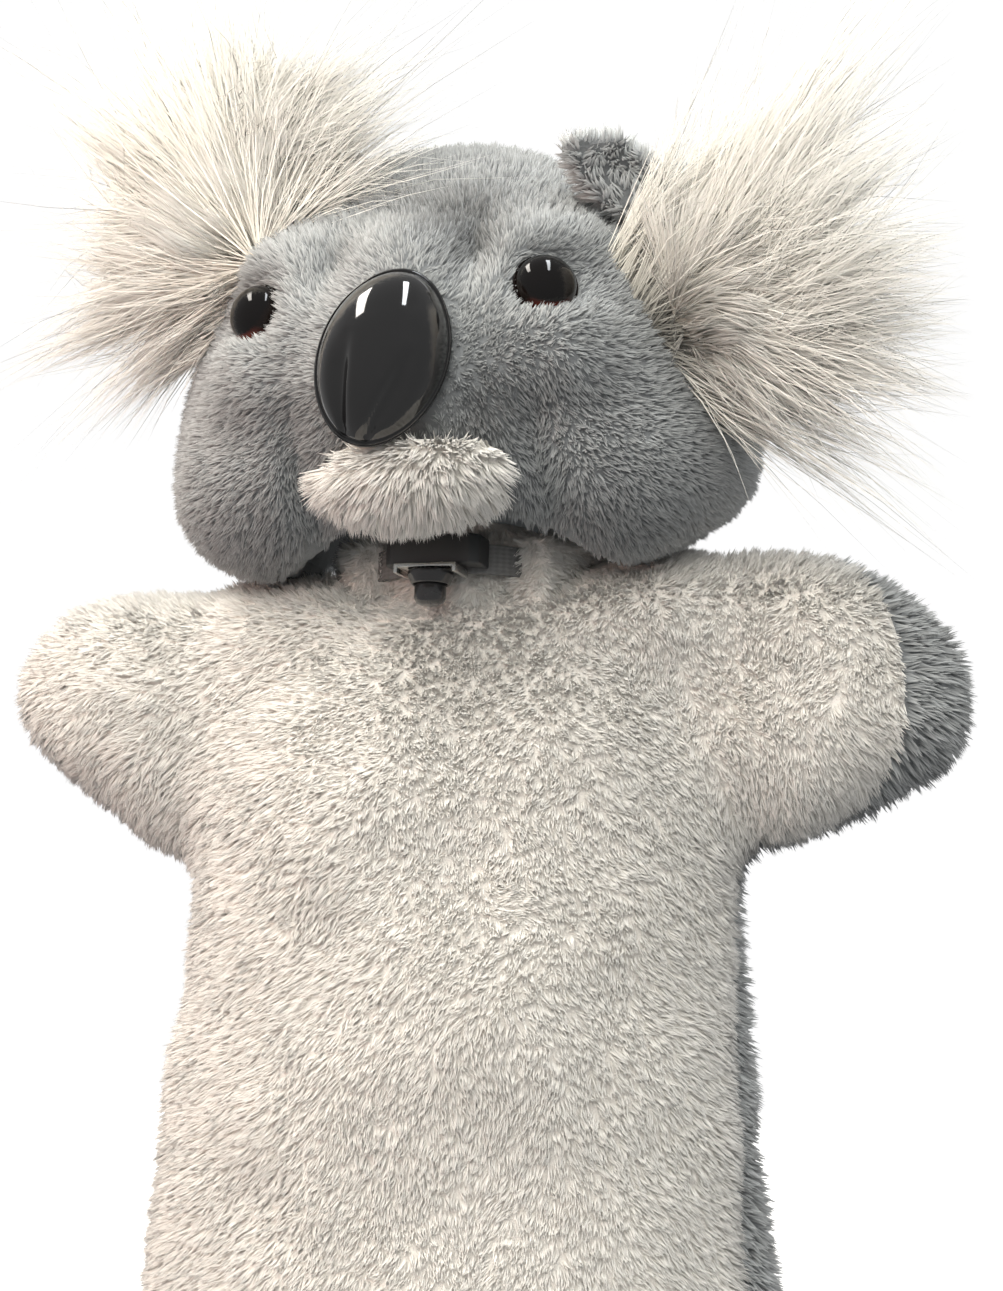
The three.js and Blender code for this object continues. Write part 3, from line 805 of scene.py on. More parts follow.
def arm_comb(places, normals):
    """Down and out along the arm."""
    way = np.zeros_like(places)
    way[:, 2] = -0.9
    way[:, 0] = 0.5 * np.sign(places[:, 0])
    return way


def collar_trim(places):
    """Shorter pile by the neck and the strap."""
    near = np.linalg.norm(places - np.array((0, 0, NECK[0] * MM)), axis=1) / MM
    return np.clip((near - 16) / 16, 0.3, 1)


# Painted shadow of the head on the chest under the chin, darkening the front pile: middle, reach and depth
CHEST_PAINTED_SHADOW = (((5, -25, 167), (15, 25, 14), 1.5),)


def bumps(places, rows):
    """The sum of round bumps at places in millimetres, each row a middle, a reach and a height."""
    total = np.zeros(len(places))
    for middle, reach, height in rows:
        total += height * np.exp(-((((places - middle) / reach) ** 2).sum(axis=1)))
    return total


# Painted shadow under the chin, as a depth of darkening at each place
def chest_painted_shadow(places):
    return bumps(places / MM, CHEST_PAINTED_SHADOW)


def off_neck(places, normals):
    """No pile on the neck inside the head."""
    return places[:, 2] < (NECK[0] - 4) * MM


# Each face of the glove: pile, cloth, slot, locks per square millimetre, their length and width, and seeds
FACES = {
    "front": (WHITE_PILE, WHITE_CLOTH, "white_plush", 3.2, 3.9, 0.34, 20, 40),
    "back": (GREY_PILE, GREY_CLOTH, "grey_plush", 1.4, 5.0, 0.50, 30, 50),
}
GLOVE_LEAN = 0.65
GLOVE_TUFT = 2.0
GLOVE_WALL = 1.4

glove = glove_skin()
for face, (colour, cloth, slot, density, length, width, body_seed, arm_seed) in FACES.items():
    ahead = face == "front"
    holes = [(tuple(armhole(side)[0]), tuple(-armhole(side)[1])) for side in (1, -1)]
    body = part_of(glove, f"body_{face}_skin", [seam_cut(0, ahead), *OPEN, *holes], cloth, LINING)
    # The front pile takes the painted shadow under the chin
    fur = pile(
        f"body_{face}_pile", body, colour, density, length, width, GLOVE_LEAN, body_comb, off_neck,
        body_seed, collar_trim, GLOVE_TUFT, chest_painted_shadow if ahead else None,
    )
    backed(body, GLOVE_WALL)
    for piece in (body, *fur):
        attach(piece, "torso")
    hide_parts(f"body_{face}")
    for name, side in (("left", 1), ("right", -1)):
        point, way = armhole(side)
        hole = (tuple(point), tuple(way))
        cuts = [seam_cut(side, ahead), hole]
        if side == 1 and ahead:
            cuts.append(TIP_CUT)
        arm = part_of(glove, f"arm_{face}_{name}_skin", cuts, cloth, LINING)
        if side == 1 and not ahead:
            past_tip = (TIP_CUT[0], tuple(-Vector(TIP_CUT[1])))
            tip = part_of(glove, "arm_tip", [seam_cut(side, True), hole, past_tip], cloth, LINING)
            arm = joined(arm, tip)
        fur = pile(
            f"arm_{face}_{name}_pile", arm, colour, density, length, width, GLOVE_LEAN, arm_comb, everywhere,
            arm_seed + side, tuft=GLOVE_TUFT,
        )
        backed(arm, GLOVE_WALL)
        for piece in (arm, *fur):
            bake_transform(piece)
        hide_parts(f"arm_{face}_{name}")
bpy.data.objects.remove(glove)


# Ruff: the gathered top of the glove, which turns with the strap and leaves its buckle free
RUFF_HEIGHTS = (163, 193)
RUFF_RADIUS = 19.6
RUFF_SWELL = 8.5
RUFF_FLARE = 4
# Angles from the front, in degrees: the gap for the buckle, where the back lies flatter, and the side flare
RUFF_GAP = (42, 54)
RUFF_BACK = (100, 150)
RUFF_SIDES = (60, 90, 110, 150)


def ruff(name, cut, cloth, pile_colour, seed):
    low, high = RUFF_HEIGHTS
    bm = bmesh.new()
    bmesh.ops.create_cone(bm, segments=72, radius1=1, radius2=1, depth=1, cap_ends=True)
    upright = [edge for edge in bm.edges if abs(edge.verts[0].co.z - edge.verts[1].co.z) > 0.5]
    bmesh.ops.subdivide_edges(bm, edges=upright, cuts=9)
    for vert in bm.verts:
        angle = math.atan2(vert.co.x, -vert.co.y)
        turn = math.degrees(angle)
        rise = vert.co.z + 0.5
        wide = ease(np.interp(abs(turn), RUFF_GAP, (0, 1))) * np.interp(abs(turn), RUFF_BACK, (1, 0.3))
        fold = 1 + 0.06 * math.sin(turn * 0.28)
        radius = RUFF_RADIUS + wide * fold * (1 + RUFF_SWELL * ease(min(rise / 0.45, 1)))
        radius += RUFF_FLARE * rise**2 * np.interp(abs(turn), RUFF_SIDES, (0, 1, 1, 0))
        place = Vector((math.sin(angle) * radius, -math.cos(angle) * radius, low + (high - low) * rise))
        vert.co = NECK_PLACE.to_3x3() @ place * MM
    whole = add_piece("ruff_whole", bm)
    subdivide(whole, 1)
    piece = part_of(whole, f"{name}_skin", [cut], cloth)
    bpy.data.objects.remove(whole)

    def sides(places, normals):
        return np.hypot(normals[:, 0], normals[:, 1]) > 0.35

    fur = pile(f"{name}_pile", piece, pile_colour, 2.8, 3.4, 0.35, 0.5, body_comb, sides, seed)
    for part in (piece, *fur):
        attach(part, "neck")


ruff("ruff_front", seam_cut(0, True), WHITE_CLOTH, WHITE_PILE, 50)
ruff("ruff_back", seam_cut(0, False), GREY_CLOTH, GREY_PILE, 55)


# Head
def to_head(places):
    """Places in the head's own frame, in millimetres."""
    turn = np.array(HEAD_PLACE.inverted())
    return (places @ turn[:3, :3].T + turn[:3, 3]) / MM


def from_head(directions):
    return directions @ np.array(HEAD_PLACE)[:3, :3].T


def facing_head(normals):
    """Directions in the head's own frame."""
    return normals @ np.array(HEAD_PLACE)[:3, :3]


def from_spot(local, out, up, wide=1, high=1):
    """How far across the face each place is from a spot, as shares of a half width and a half height."""
    return np.hypot((local[:, 0] - out) / wide, (local[:, 2] - up) / high)


# The head's swells and creases: middle, reach and height
HEAD_SWELLS = (
    ((2, -54, 68), (14, 26, 10), 7.5),
    ((-35, -46, 71), (14, 20, 7.5), 7.5),
    ((38, -46, 70.5), (14, 20, 7), 7.5),
    ((18, -50, 68), (5, 18, 7), -5.0),
    ((-14, -50, 68), (5, 18, 7), -4.0),
    ((14, -48, 81), (15, 16, 6), -4.5),
    ((-8, -48, 83), (12, 16, 6), -3.0),
    ((0, -14, 104), (44, 28, 10), 3.0),
    ((-37, -48, 49), (11, 18, 4.8), 4.5),
    ((37, -48, 49.5), (11, 18, 4.8), 5.2),
    ((-37, -48, 41.5), (13, 18, 7.5), 5.5),
    ((38, -48, 41.5), (14, 18, 8), 8.0),
    ((-24, -52, 58), (5, 16, 9), 3.0),
    ((24, -52, 58), (5, 16, 9), 3.0),
    ((31, -50, 16), (4, 20, 18), -4.5),
    ((-25, -50, 16), (4, 20, 18), -4.0),
    ((50, -32, 20), (20, 26, 18), 4.0),
    ((-50, -32, 20), (20, 26, 18), 4.0),
    ((50, -24, 2), (24, 26, 14), 5.5),
    ((-50, -24, 2), (24, 26, 14), 5.5),
)


def axis_of(stud, washer):
    """A stud's points and the way it faces, off its washer."""
    points = points_of(frame["nodes"][stud].data)
    seat = points_of(frame["nodes"][washer].data)
    return points, unit(points.mean(axis=0) - seat.mean(axis=0))


HEAD_VOXEL = 3.0
# Spots of the face that the stuffing doesn't move: out, up and reach
HELD_SPOTS = ((0, 44, 20), (35, 59, 9), (-35, 59, 9))


def head_skin():
    skin = add_piece("head_skin", copy_of("head_cover", "head_stuffing"), GREY_CLOTH)
    remesh(skin, HEAD_VOXEL, 6)
    offset(skin, -HEAD_PILE)
    smooth(skin, 4)
    local = to_head(points_of(skin.data))
    held = np.clip((40 - np.linalg.norm(local, axis=1)) / 6, 0, 1)
    for out, up, reach in HELD_SPOTS:
        held = np.maximum(held, (from_spot(local, out, up) < reach) & (local[:, 1] < 0))
    puff(skin, held, MOST_PUFF)
    subdivide(skin, 1)
    places, normals = points_of(skin.data), normals_of(skin.data)
    local = to_head(places)
    rise = wander(places, 22, 9)[:, 0] * 0.7 + bumps(local, HEAD_SWELLS)
    outer = (local * facing_head(normals)).sum(axis=1) > 0
    put_points(skin.data, places + normals * (rise * outer)[:, None] * MM)
    skin.data.shade_smooth()
    return skin


head = head_skin()
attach(head, "head")
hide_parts("head_cover", "head_stuffing")

JOINTS = {joint["name"]: joint for joint in frame["joints"]}

# Each ear. Its hair: top, where it ends up the head; gather, how far behind the root its fan starts;
# focus, how much it turns to the angle lean; lowest and highest, its angles; sweep, how much wider it
# opens upward; parting, how deep it is parted; fold, how much painted shade darkens its root in the fold
# by the head; stretch, how far past the solid it reaches. Then crook, whether the back is bent into a
# hump, with painted light on the hump's pile; leaf, the share of the leaf above the root; and a seed.
EAR_STYLES = {
    "left": SimpleNamespace(
        top=20, gather=0.25, focus=0.30, lean=math.radians(-26),
        lowest=math.radians(-75), highest=math.radians(26), sweep=1.0, parting=0, fold=6.5,
        stretch=1.55, crook=1, leaf=0.34, seed=80,
    ),
    "right": SimpleNamespace(
        top=30, gather=0.06, focus=0.18, lean=0.0,
        lowest=math.radians(-84), highest=math.radians(134), sweep=1.6, parting=0.62, fold=0.8,
        stretch=1.5, crook=0, leaf=0.68, seed=90,
    ),
}


class EarFrame:
    """An ear's style, its root, its axes outward, along its hinge and forward, and its reach along them."""

    def __init__(self, name, style):
        self.style = style
        hinge = JOINTS[f"ear_{name}_fold"]
        self.root = np.array(hinge["pos_m"])
        line = unit(np.array(hinge["axis"]))
        line = -line if line[2] < 0 else line
        solid = points_of(frame["nodes"][f"ear_front_{name}"].data) - self.root
        out = solid.mean(axis=0)
        out = unit(out - line * (out @ line))
        fore = np.cross(line, out)
        fore = -fore if fore[1] > 0 else fore
        self.axes = np.stack((out, line, fore))
        low = (solid @ self.axes.T).min(axis=0)
        high = (solid @ self.axes.T).max(axis=0)
        self.middle = (low[1] + high[1]) / 2
        self.reach = np.array((high[0], (high[1] - low[1]) / 2))

    def local(self, places):
        """Places along the axes from the middle of the root."""
        return (places - self.root) @ self.axes.T - (0, self.middle, 0)

    def on_head(self, places, normals=None):
        """True on the strip of head in front of the hinge that the ear's hair grows from."""
        out, line, fore = self.local(places).T / MM
        inside = (out > -6) & (out < 8) & (fore > -8) & (fore < 10)
        return inside & (line > -24) & (line < self.style.top)

    def in_fold(self, places):
        """How deep in the fold between the head and the ear each place is, which sets the painted shade there.
        """
        out, line, _ = self.local(places).T / MM
        return np.exp(-(((line + 1) / 15) ** 2) - (np.maximum(out, 0) / 8) ** 2)


EARS = {name: EarFrame(name, style) for name, style in EAR_STYLES.items()}
NOSE = (2.0, 44.0)
NOSE_MIDDLE = np.array((NOSE[0], -62.0, NOSE[1]))
EYES = ((-35, 59), (35, 59))


def head_comb(places, normals):
    """Away from the nose, and down the cheeks."""
    local = to_head(places)
    way = unit(local - NOSE_MIDDLE)
    way[:, 2] -= 0.55 * np.clip((70 - local[:, 2]) / 30, 0, 1)
    for out, up in EYES:
        spot = local - (out, -44, up)
        near = np.exp(-((np.linalg.norm(spot, axis=1) / 11) ** 2))
        way += unit(spot) * near[:, None] * 0.7
    return from_head(way)


def head_keep(places, normals):
    """No pile in the neck's hollow, nor under the nose, the eyes and the ears' hair."""
    local = to_head(places)
    outer = (local * facing_head(normals)).sum(axis=1) > 0
    keep = np.where(outer, np.interp(local[:, 1], (0, 25), (1, 0.5)), 0)
    hidden = from_spot(local, *NOSE, 11.5, 17.0) < 1
    for spot in EYES:
        hidden |= from_spot(local, *spot) < 4.8
    keep[hidden & (local[:, 1] < 0)] = 0
    for ear in EARS.values():
        keep *= 1 - ear.on_head(places)
    return keep


def head_trim(places):
    """Shorter pile by the nose, the eyes and the collar."""
    local = to_head(places)
    size = np.clip(0.55 + (from_spot(local, *NOSE, 13, 19) - 1) * 1.2, 0.55, 1)
    for spot in EYES:
        size *= np.clip(0.75 + (from_spot(local, *spot) - 6) / 12, 0.75, 1)
    size[local[:, 1] >= 0] = 1
    return size * np.clip((np.linalg.norm(local, axis=1) - 22) / 18, 0.35, 1)


# Painted shade: the pile darkened in the creases of the face, above the eyes, on the lower cheeks, over the
# crown and under the head: middle, reach and depth
HEAD_PAINTED_SHADE = (
    ((0, -10, 104), (60, 44, 16), 0.5),
    ((15, -48, 79), (15, 24, 8), 2.1),
    ((18, -50, 69), (5, 20, 6.5), 1.5),
    ((-14, -50, 69), (4.5, 20, 6.5), 0.9),
    ((-6, -48, 84), (10, 22, 5), 0.8),
    ((35, -44, 67), (10, 18, 3.5), 0.7),
    ((-35, -44, 67), (10, 18, 3.5), 0.6),
    ((22, -52, 34), (9, 20, 12), 0.8),
    ((-22, -52, 34), (9, 20, 12), 0.4),
    ((0, -30, -4), (90, 60, 14), 0.7),
)


# Painted shade of the face's creases, crown and underside, as a depth of darkening at each place
def head_painted_shade(places):
    return bumps(to_head(places), HEAD_PAINTED_SHADE)


for piece in pile(
    "head_pile", head, GREY_PILE, 3.6, 3.1, 0.31, 0.5, head_comb, head_keep, 60, head_trim, 1.6, head_painted_shade
):
    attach(piece, "head")


def chin_comb(places, normals):
    """Out from under the nose and down."""
    local = to_head(places)
    way = unit(local - (4, -58, 32))
    way[:, 2] -= 0.7
    return from_head(way)


chin = add_piece("chin_skin", copy_of("chin_patch"), WHITE_CLOTH)
remesh(chin, 2.0, 6)
offset(chin, -1.5)
smooth(chin, 5)
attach(chin, "head")
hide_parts("chin_patch")


def chin_keep(places, normals):
    return facing_head(normals)[:, 1] < 0.35


for piece in pile("chin_pile", chin, WHITE_PILE, 3.0, 5.6, 0.42, 0.7, chin_comb, chin_keep, 70):
    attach(piece, "head")


# Ears: a plush back and a fan of long hair, on a small leaf of cloth and on the head in front of it
HAIRS_IN_CLUMP = 55
LEAST_CLUMPS = 8
TUFTS = 14
STRAYS = 0.12
RIDGES = 9
RIDGE_PULL = 0.68
LEAST_HAIR = 16
MOST_PULL = 8
HAIR_WIDTH = 0.125
HAIR_ROOT = 0.4
PARTING = -0.45
# How the painted shade in the fold fades from each hair's root to its tip
FOLD_FADE = 3


def long_hair(name, ear, surface, per_mm2, keep, stretch, seed):
    """Locks that fan out from the ear's root to about the edge of its outline, in clumps with uneven tips."""
    random = np.random.default_rng(seed)
    style = ear.style
    at, normals = scatter(surface, per_mm2, keep, random)
    size = len(at)
    local = ear.local(at)
    clumps = max(LEAST_CLUMPS, size // HAIRS_IN_CLUMP)
    middles = random.choice(size, clumps, replace=False)
    mine = nearest(at, at[middles])

    # Angles of the fan, by clump and by tuft
    start = style.gather * ear.reach[0]
    angle = np.arctan2(local[:, 1] * 1.3, np.maximum(local[:, 0] + start, 3 * MM))
    angle = angle * (1 - style.focus) + style.lean * style.focus
    angle = np.where(angle > 0, angle * style.sweep, angle)
    stray = random.random(size) < STRAYS
    tufts = random.choice(clumps, TUFTS, replace=False)
    tuft = nearest(at[middles], at[middles[tufts]])[mine]
    angle += random.normal(size=size) * np.where(stray, 0.55, 0.22)
    angle += (random.normal(size=clumps) * 0.20)[mine]
    angle += (random.normal(size=TUFTS) * 0.10)[tuft]
    lowest = style.lowest - 0.12 * random.random(size)
    highest = style.highest + 0.12 * random.random(size)
    angle = np.clip(angle, lowest, highest)

    # Lengths, up to the edge of the outline
    way = np.stack((np.cos(angle), np.sin(angle)), axis=1)
    edge = 1 / np.sqrt(((way / ear.reach) ** 2).sum(axis=1))
    edge *= 1 + (stretch - 1) * np.clip(0.35 + way[:, 0] * 0.6 + way[:, 1] * 0.4, 0, 1)
    already = (local[:, :2] * way).sum(axis=1)
    share = vary(random, clumps, 0.70, 0.5)[mine] * vary(random, size, 0.42, 0.72)
    share *= vary(random, TUFTS, 0.80, 0.36)[tuft]
    share *= 1 - style.parting * np.exp(-(((angle - PARTING) / 0.20) ** 2))
    long = np.clip(edge - already, LEAST_HAIR * MM, None) * share

    # Directions: hairs at the front of the fan stand forward, those at the back face backward
    out, line, fore = ear.axes
    plane = way[:, :1] * out + way[:, 1:] * line
    depth = random.random((size, 1))
    heads = unit(plane + fore * (0.05 + 0.36 * depth))
    facing = unit(normals * 0.3 + plane * 0.2 + fore * (2.4 * depth - 0.7))
    bends = -fore * vary(random, (size, 1), 0.05, 0.3) + random.normal(size=at.shape) * 0.17
    bends += (random.normal(size=(clumps, 3)) * 0.14)[mine]
    bends[:, 2] -= 0.05

    # Tips gathered onto ridges
    tips = ear.local(at + (heads + bends) * long[:, None]) + (start, 0, 0)
    turn = np.arctan2(tips[:, 1], tips[:, 0])
    ridges = np.linspace(style.lowest, style.highest, RIDGES) + random.normal(size=RIDGES) * 0.07
    ridge = np.abs(turn[:, None] - ridges).argmin(axis=1)
    aside = np.where(stray, 0, turn - ridges[ridge])
    off = np.clip(np.abs(aside) * 2 * (RIDGES - 1) / (style.highest - style.lowest), 0, 1)
    far = np.hypot(tips[:, 0], tips[:, 1]) * (1 - 0.42 * off**1.5)
    far *= vary(random, RIDGES, 0.84, 0.38)[ridge]
    turn -= aside * RIDGE_PULL
    gathered = np.stack((np.cos(turn) * far, np.sin(turn) * far, tips[:, 2]), axis=1)
    bends += (gathered - tips) @ ear.axes / long[:, None]

    # Hairs kept within reach and drawn towards their clump
    for axis, most in enumerate((SIDE_REACH, FRONT_REACH, TOP_REACH)):
        spread = (heads + bends)[:, axis] * long
        room = np.maximum(most * MM - np.sign(spread) * at[:, axis], 1 * MM)
        long *= np.minimum(1, room / np.maximum(np.abs(spread), 1e-9))
    tips = at + (heads + bends) * long[:, None]
    pull = (tips[middles][mine] - tips) * vary(random, (size, 1), 0.05, 0.35)
    pull *= np.minimum(1, MOST_PULL * MM / np.maximum(np.linalg.norm(pull, axis=1, keepdims=True), 1e-9))
    bends += pull / long[:, None]
    wide = HAIR_WIDTH * MM * vary(random, size, *WIDTHS)
    roots = at - normals * HAIR_ROOT * MM
    # Painted shade in the fold by the head, darkest at the hairs' roots
    dark = style.fold * ear.in_fold(at)
    return grow(name, LONG_LOCK, roots, facing, heads, bends, long, wide, random, CREAM_HAIR, dark, FOLD_FADE)


EAR_VOXEL = 2.0
HUMP_START = 14


def ear_back(name, ear):
    """The plush back, drawn in under the hair, its top bent into a hump where the style has a crook."""
    back = add_piece(f"ear_back_{name}_skin", copy_of(f"ear_back_{name}"), GREY_CLOTH)
    remesh(back, EAR_VOXEL, 5)
    out, line, fore = ear.local(points_of(back.data)).T / MM
    past = np.clip(line - 12, 0, None) * ear.style.crook
    out = np.where(out > 15, 15 + (out - 15) * 0.72, out) - past
    out = np.where(out > 12, 12 + (out - 12) * (1 - 0.62 * np.clip(past / 15, 0, 1)), out)
    line = line * 0.9 + past * 0.62
    fore = (fore + 9) * (1 + past * 0.10) - 9 + past * 0.4
    flat = np.stack((out, line, fore), axis=1) * MM + (0, ear.middle, 0)
    put_points(back.data, flat @ ear.axes + ear.root)
    offset(back, -1.2)
    remesh(back, EAR_VOXEL, 4)
    return back


def ear_leaf(name, ear):
    """The small leaf of cloth that the front hair grows from."""
    leaf = add_piece(f"ear_front_{name}_skin", copy_of(f"ear_front_{name}"), CREAM_CLOTH)
    remesh(leaf, EAR_VOXEL, 6)
    out, line, fore = ((points_of(leaf.data) - ear.root) @ ear.axes.T).T
    out = np.where(out > 0, out * 0.42, out)
    line = ear.middle + (line - ear.middle) * np.where(line > ear.middle, ear.style.leaf, 0.52)
    put_points(leaf.data, np.stack((out, line, fore * 0.5), axis=1) @ ear.axes + ear.root)
    return leaf


def make_ear(name, ear):
    out, _, fore = ear.axes
    style = ear.style
    seed = style.seed
    body = f"ear_{name}"
    back = ear_back(name, ear)

    def fan(places, normals):
        way = ear.local(places)
        way[:, 0] += 0.3 * ear.reach[0]
        way[:, 2] = 0
        return unit(way) @ ear.axes

    def behind(places, normals):
        hump = (style.crook > 0) & (ear.local(places)[:, 1] / MM > HUMP_START)
        return (normals @ fore < 0) | hump

    def ahead(places, normals):
        return normals @ fore > -0.1

    def edge(places, normals):
        at = ear.local(places)
        turn = np.arctan2(at[:, 1], at[:, 0])
        return (np.abs(normals @ fore) < 0.6) & (turn < style.highest)

    # Painted light: the grey pile on the hump lightened towards its top, as if lit there
    def hump_painted_light(places):
        return -1.1 * style.crook * np.clip((ear.local(places)[:, 1] / MM - HUMP_START) / 8, 0, 1)

    # Painted shade over the whole down in the fold by the head
    def fold_painted_shade(places):
        return style.fold * 0.6 * ear.in_fold(places)

    fur = pile(
        f"ear_back_{name}_pile", back, GREY_PILE, 2.4, 4.4, 0.40, 0.6, fan, behind, seed, shade=hump_painted_light
    )
    for piece in (back, *fur):
        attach(piece, body)
    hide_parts(f"ear_back_{name}")

    leaf = ear_leaf(name, ear)
    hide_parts(f"ear_front_{name}")
    fringe = pile(
        f"ear_fringe_{name}_hair", back, CREAM_HAIR, 3.2, 14, 0.2, 2.0, fan, edge, seed + 14, tuft=3.0
    )
    hair = long_hair(f"ear_front_{name}_hair", ear, leaf, 5.5, ahead, style.stretch, seed + 5)
    down = pile(
        f"ear_front_{name}_down", leaf, CREAM_HAIR, 2.6, 17, 0.22, 1.5, fan, everywhere, seed + 8,
        tuft=3.0, shade=fold_painted_shade,
    )
    for piece in (leaf, *hair, *down, *fringe):
        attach(piece, body)
    roots = long_hair(
        f"ear_root_{name}_hair", ear, head, 4.6, ear.on_head, style.stretch * 0.9, seed + 11
    )
    for piece in roots:
        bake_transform(piece) or piece


for name, ear in EARS.items():
    make_ear(name, ear)


# Nose: a gloss spoon with a bead round its edge and two long nostrils
def frame_on(way, up):
    """A turn whose third axis is way and whose second is as near up as it can be."""
    way = Vector(way).normalized()
    across = Vector(up).cross(way).normalized()
    return Matrix((across, way.cross(across), way)).transposed().to_4x4()


HEAD_UP = HEAD_PLACE.to_3x3() @ Vector((0, 0, 1))


# Shares of the nose's half sizes and rise: the step at its seat, the dome's edge, its bead and the nostrils
NOSE_STEP = 0.14
NOSE_DOME = 0.955
BEAD_PLACE = 0.972
BEAD_WIDTH = 0.022
BEAD_HEIGHT = 0.05
NOSTRIL_DEPTH = 0.17
NOSE_RIM = 9


def nostril(x, y, r, side):
    """How deep the nostril on one side is at a place on the dome."""
    fall = min(max((0.12 - y) / 1.02, 0), 1)
    gap = (x - side * (0.50 - 0.30 * fall**1.4)) * side
    wide = 0.05 + 0.15 * math.sin(math.pi * min(fall * 1.05, 1)) if gap > 0 else 0.09
    inside = math.exp(-((gap / wide) ** 2))
    return NOSTRIL_DEPTH * inside * min(fall * 2.4, 1) * min(max((1 - r) / 0.1, 0), 1)


def nose():
    points, way = axis_of("nose", "nose_washer")
    middle = points.mean(axis=0)
    flat = points - middle
    flat = flat - np.outer(flat @ way, way)
    long = np.linalg.svd(flat, full_matrices=False)[2][0]
    turn = frame_on(way, -long if long[2] < 0 else long)
    local = (points - middle) @ np.array(turn)[:3, :3]
    half_width, half_height = np.abs(local[:, :2]).max(axis=0)
    seat = local[np.hypot(local[:, 0], local[:, 1]) > NOSE_RIM * MM, 2].min()
    rise = local[:, 2].max() - seat
    bm = bmesh.new()
    bmesh.ops.create_uvsphere(bm, u_segments=120, v_segments=96, radius=1)
    for vert in bm.verts:
        x, y, z = vert.co
        r = min(math.hypot(x, y), 1.0)
        if z >= 0:
            height = NOSE_STEP + (1 - NOSE_STEP) * max(0.0, 1 - (r / NOSE_DOME) ** 2.3) ** 0.62
            height += BEAD_HEIGHT * math.exp(-(((r - BEAD_PLACE) / BEAD_WIDTH) ** 2))
            height -= NOSE_STEP if r > 0.995 else 0
            height -= nostril(x, y, r, 1) + nostril(x, y, r, -1)
        else:
            height = NOSE_STEP * (1 + z)
        narrow = 1 - 0.07 * max(y, 0) ** 2 - 0.05 * max(-y, 0) ** 2
        vert.co = (x * half_width * narrow, y * half_height, seat + height * rise)
    bmesh.ops.transform(bm, matrix=Matrix.Translation(Vector(middle)) @ turn, verts=bm.verts)
    piece = add_piece("nose_moulding", bm, GLOSS_BLACK)
    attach(piece, "head")
    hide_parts("nose")


nose()


def lathe(name, profile, place, material, steps=64):
    """A profile of (radius, height) in millimetres spun about the place's third axis."""
    bm = bmesh.new()
    verts = [bm.verts.new((out * MM, 0, up * MM)) for out, up in profile]
    edges = [bm.edges.new(pair) for pair in zip(verts, verts[1:])]
    bmesh.ops.spin(
        bm, geom=verts + edges, cent=(0, 0, 0), axis=(0, 0, 1), dvec=(0, 0, 0),
        angle=math.tau, steps=steps, use_merge=True,
    )
    bmesh.ops.remove_doubles(bm, verts=bm.verts, dist=1e-6)
    bmesh.ops.transform(bm, matrix=place, verts=bm.verts)
    return add_piece(name, bm, material)


# Eyes: the dome's share of the radius, its foot, its steps, and the lid's rows of radius share and height
DOME = 0.93
DOME_FOOT = 1.2
DOME_STEPS = 14
LID = ((0.935, 1.0), (0.95, 1.6), (0.985, 1.6), (1.0, 0.8), (0.99, 0.0))


def eye(name):
    points, way = axis_of(f"eye_{name}", f"eye_washer_{name}")
    middle = points.mean(axis=0)
    along = (points - middle) @ way
    wide = np.linalg.norm(points - middle - np.outer(along, way), axis=1)
    seat = along[wide > 0.9 * wide.max()].min()
    radius, top, low = wide.max() / MM, along.max() / MM, seat / MM
    foot = low + DOME_FOOT
    bends = [step / DOME_STEPS * math.pi / 2 for step in range(1, DOME_STEPS + 1)]
    profile = [
        (0.0, top),
        *((radius * DOME * math.sin(bend), foot + (top - foot) * math.cos(bend)) for bend in bends),
        *((radius * out, low + up) for out, up in LID),
        (0.0, low),
    ]
    place = Matrix.Translation(Vector(middle)) @ frame_on(way, HEAD_UP)
    finish = eye_material(f"amber_eye_{name}", middle + way * seat, way, HEAD_UP, wide.max())
    piece = lathe(f"eye_{name}_dome", profile, place, finish, 48)
    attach(piece, "head")
    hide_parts(f"eye_{name}")


eye("left")
eye("right")


# Collar: strap, block, plate, bezel and button
def eased(name, node, width, material):
    """A copy of a hard CAD piece with its edges rounded."""
    bm = copy_of(node)
    bmesh.ops.dissolve_limit(bm, angle_limit=math.radians(2), verts=bm.verts, edges=bm.edges)
    sharp = [edge for edge in bm.edges if edge.is_manifold and edge.calc_face_angle(0) > math.radians(25)]
    bmesh.ops.bevel(
        bm, geom=sharp, offset=width * MM, segments=3, profile=0.5, affect="EDGES", material=-1,
        clamp_overlap=True,
    )
    bmesh.ops.triangulate(bm, faces=[face for face in bm.faces if len(face.verts) > 4])
    return add_piece(name, bm, material)


for name, node, ease_width, finish, slot in (
    ("neck_strap_tape", "neck_strap", 0.25, WEBBING, "strap_webbing"),
    ("strap_block_moulding", "strap_block", 0.5, BLOCK, "block_plastic"),
    ("clip_plate_sheet", "clip_plate", 0.2, STEEL, "steel"),
):
    piece = eased(name, node, ease_width, finish)
    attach(piece, "neck")
    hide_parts(node)

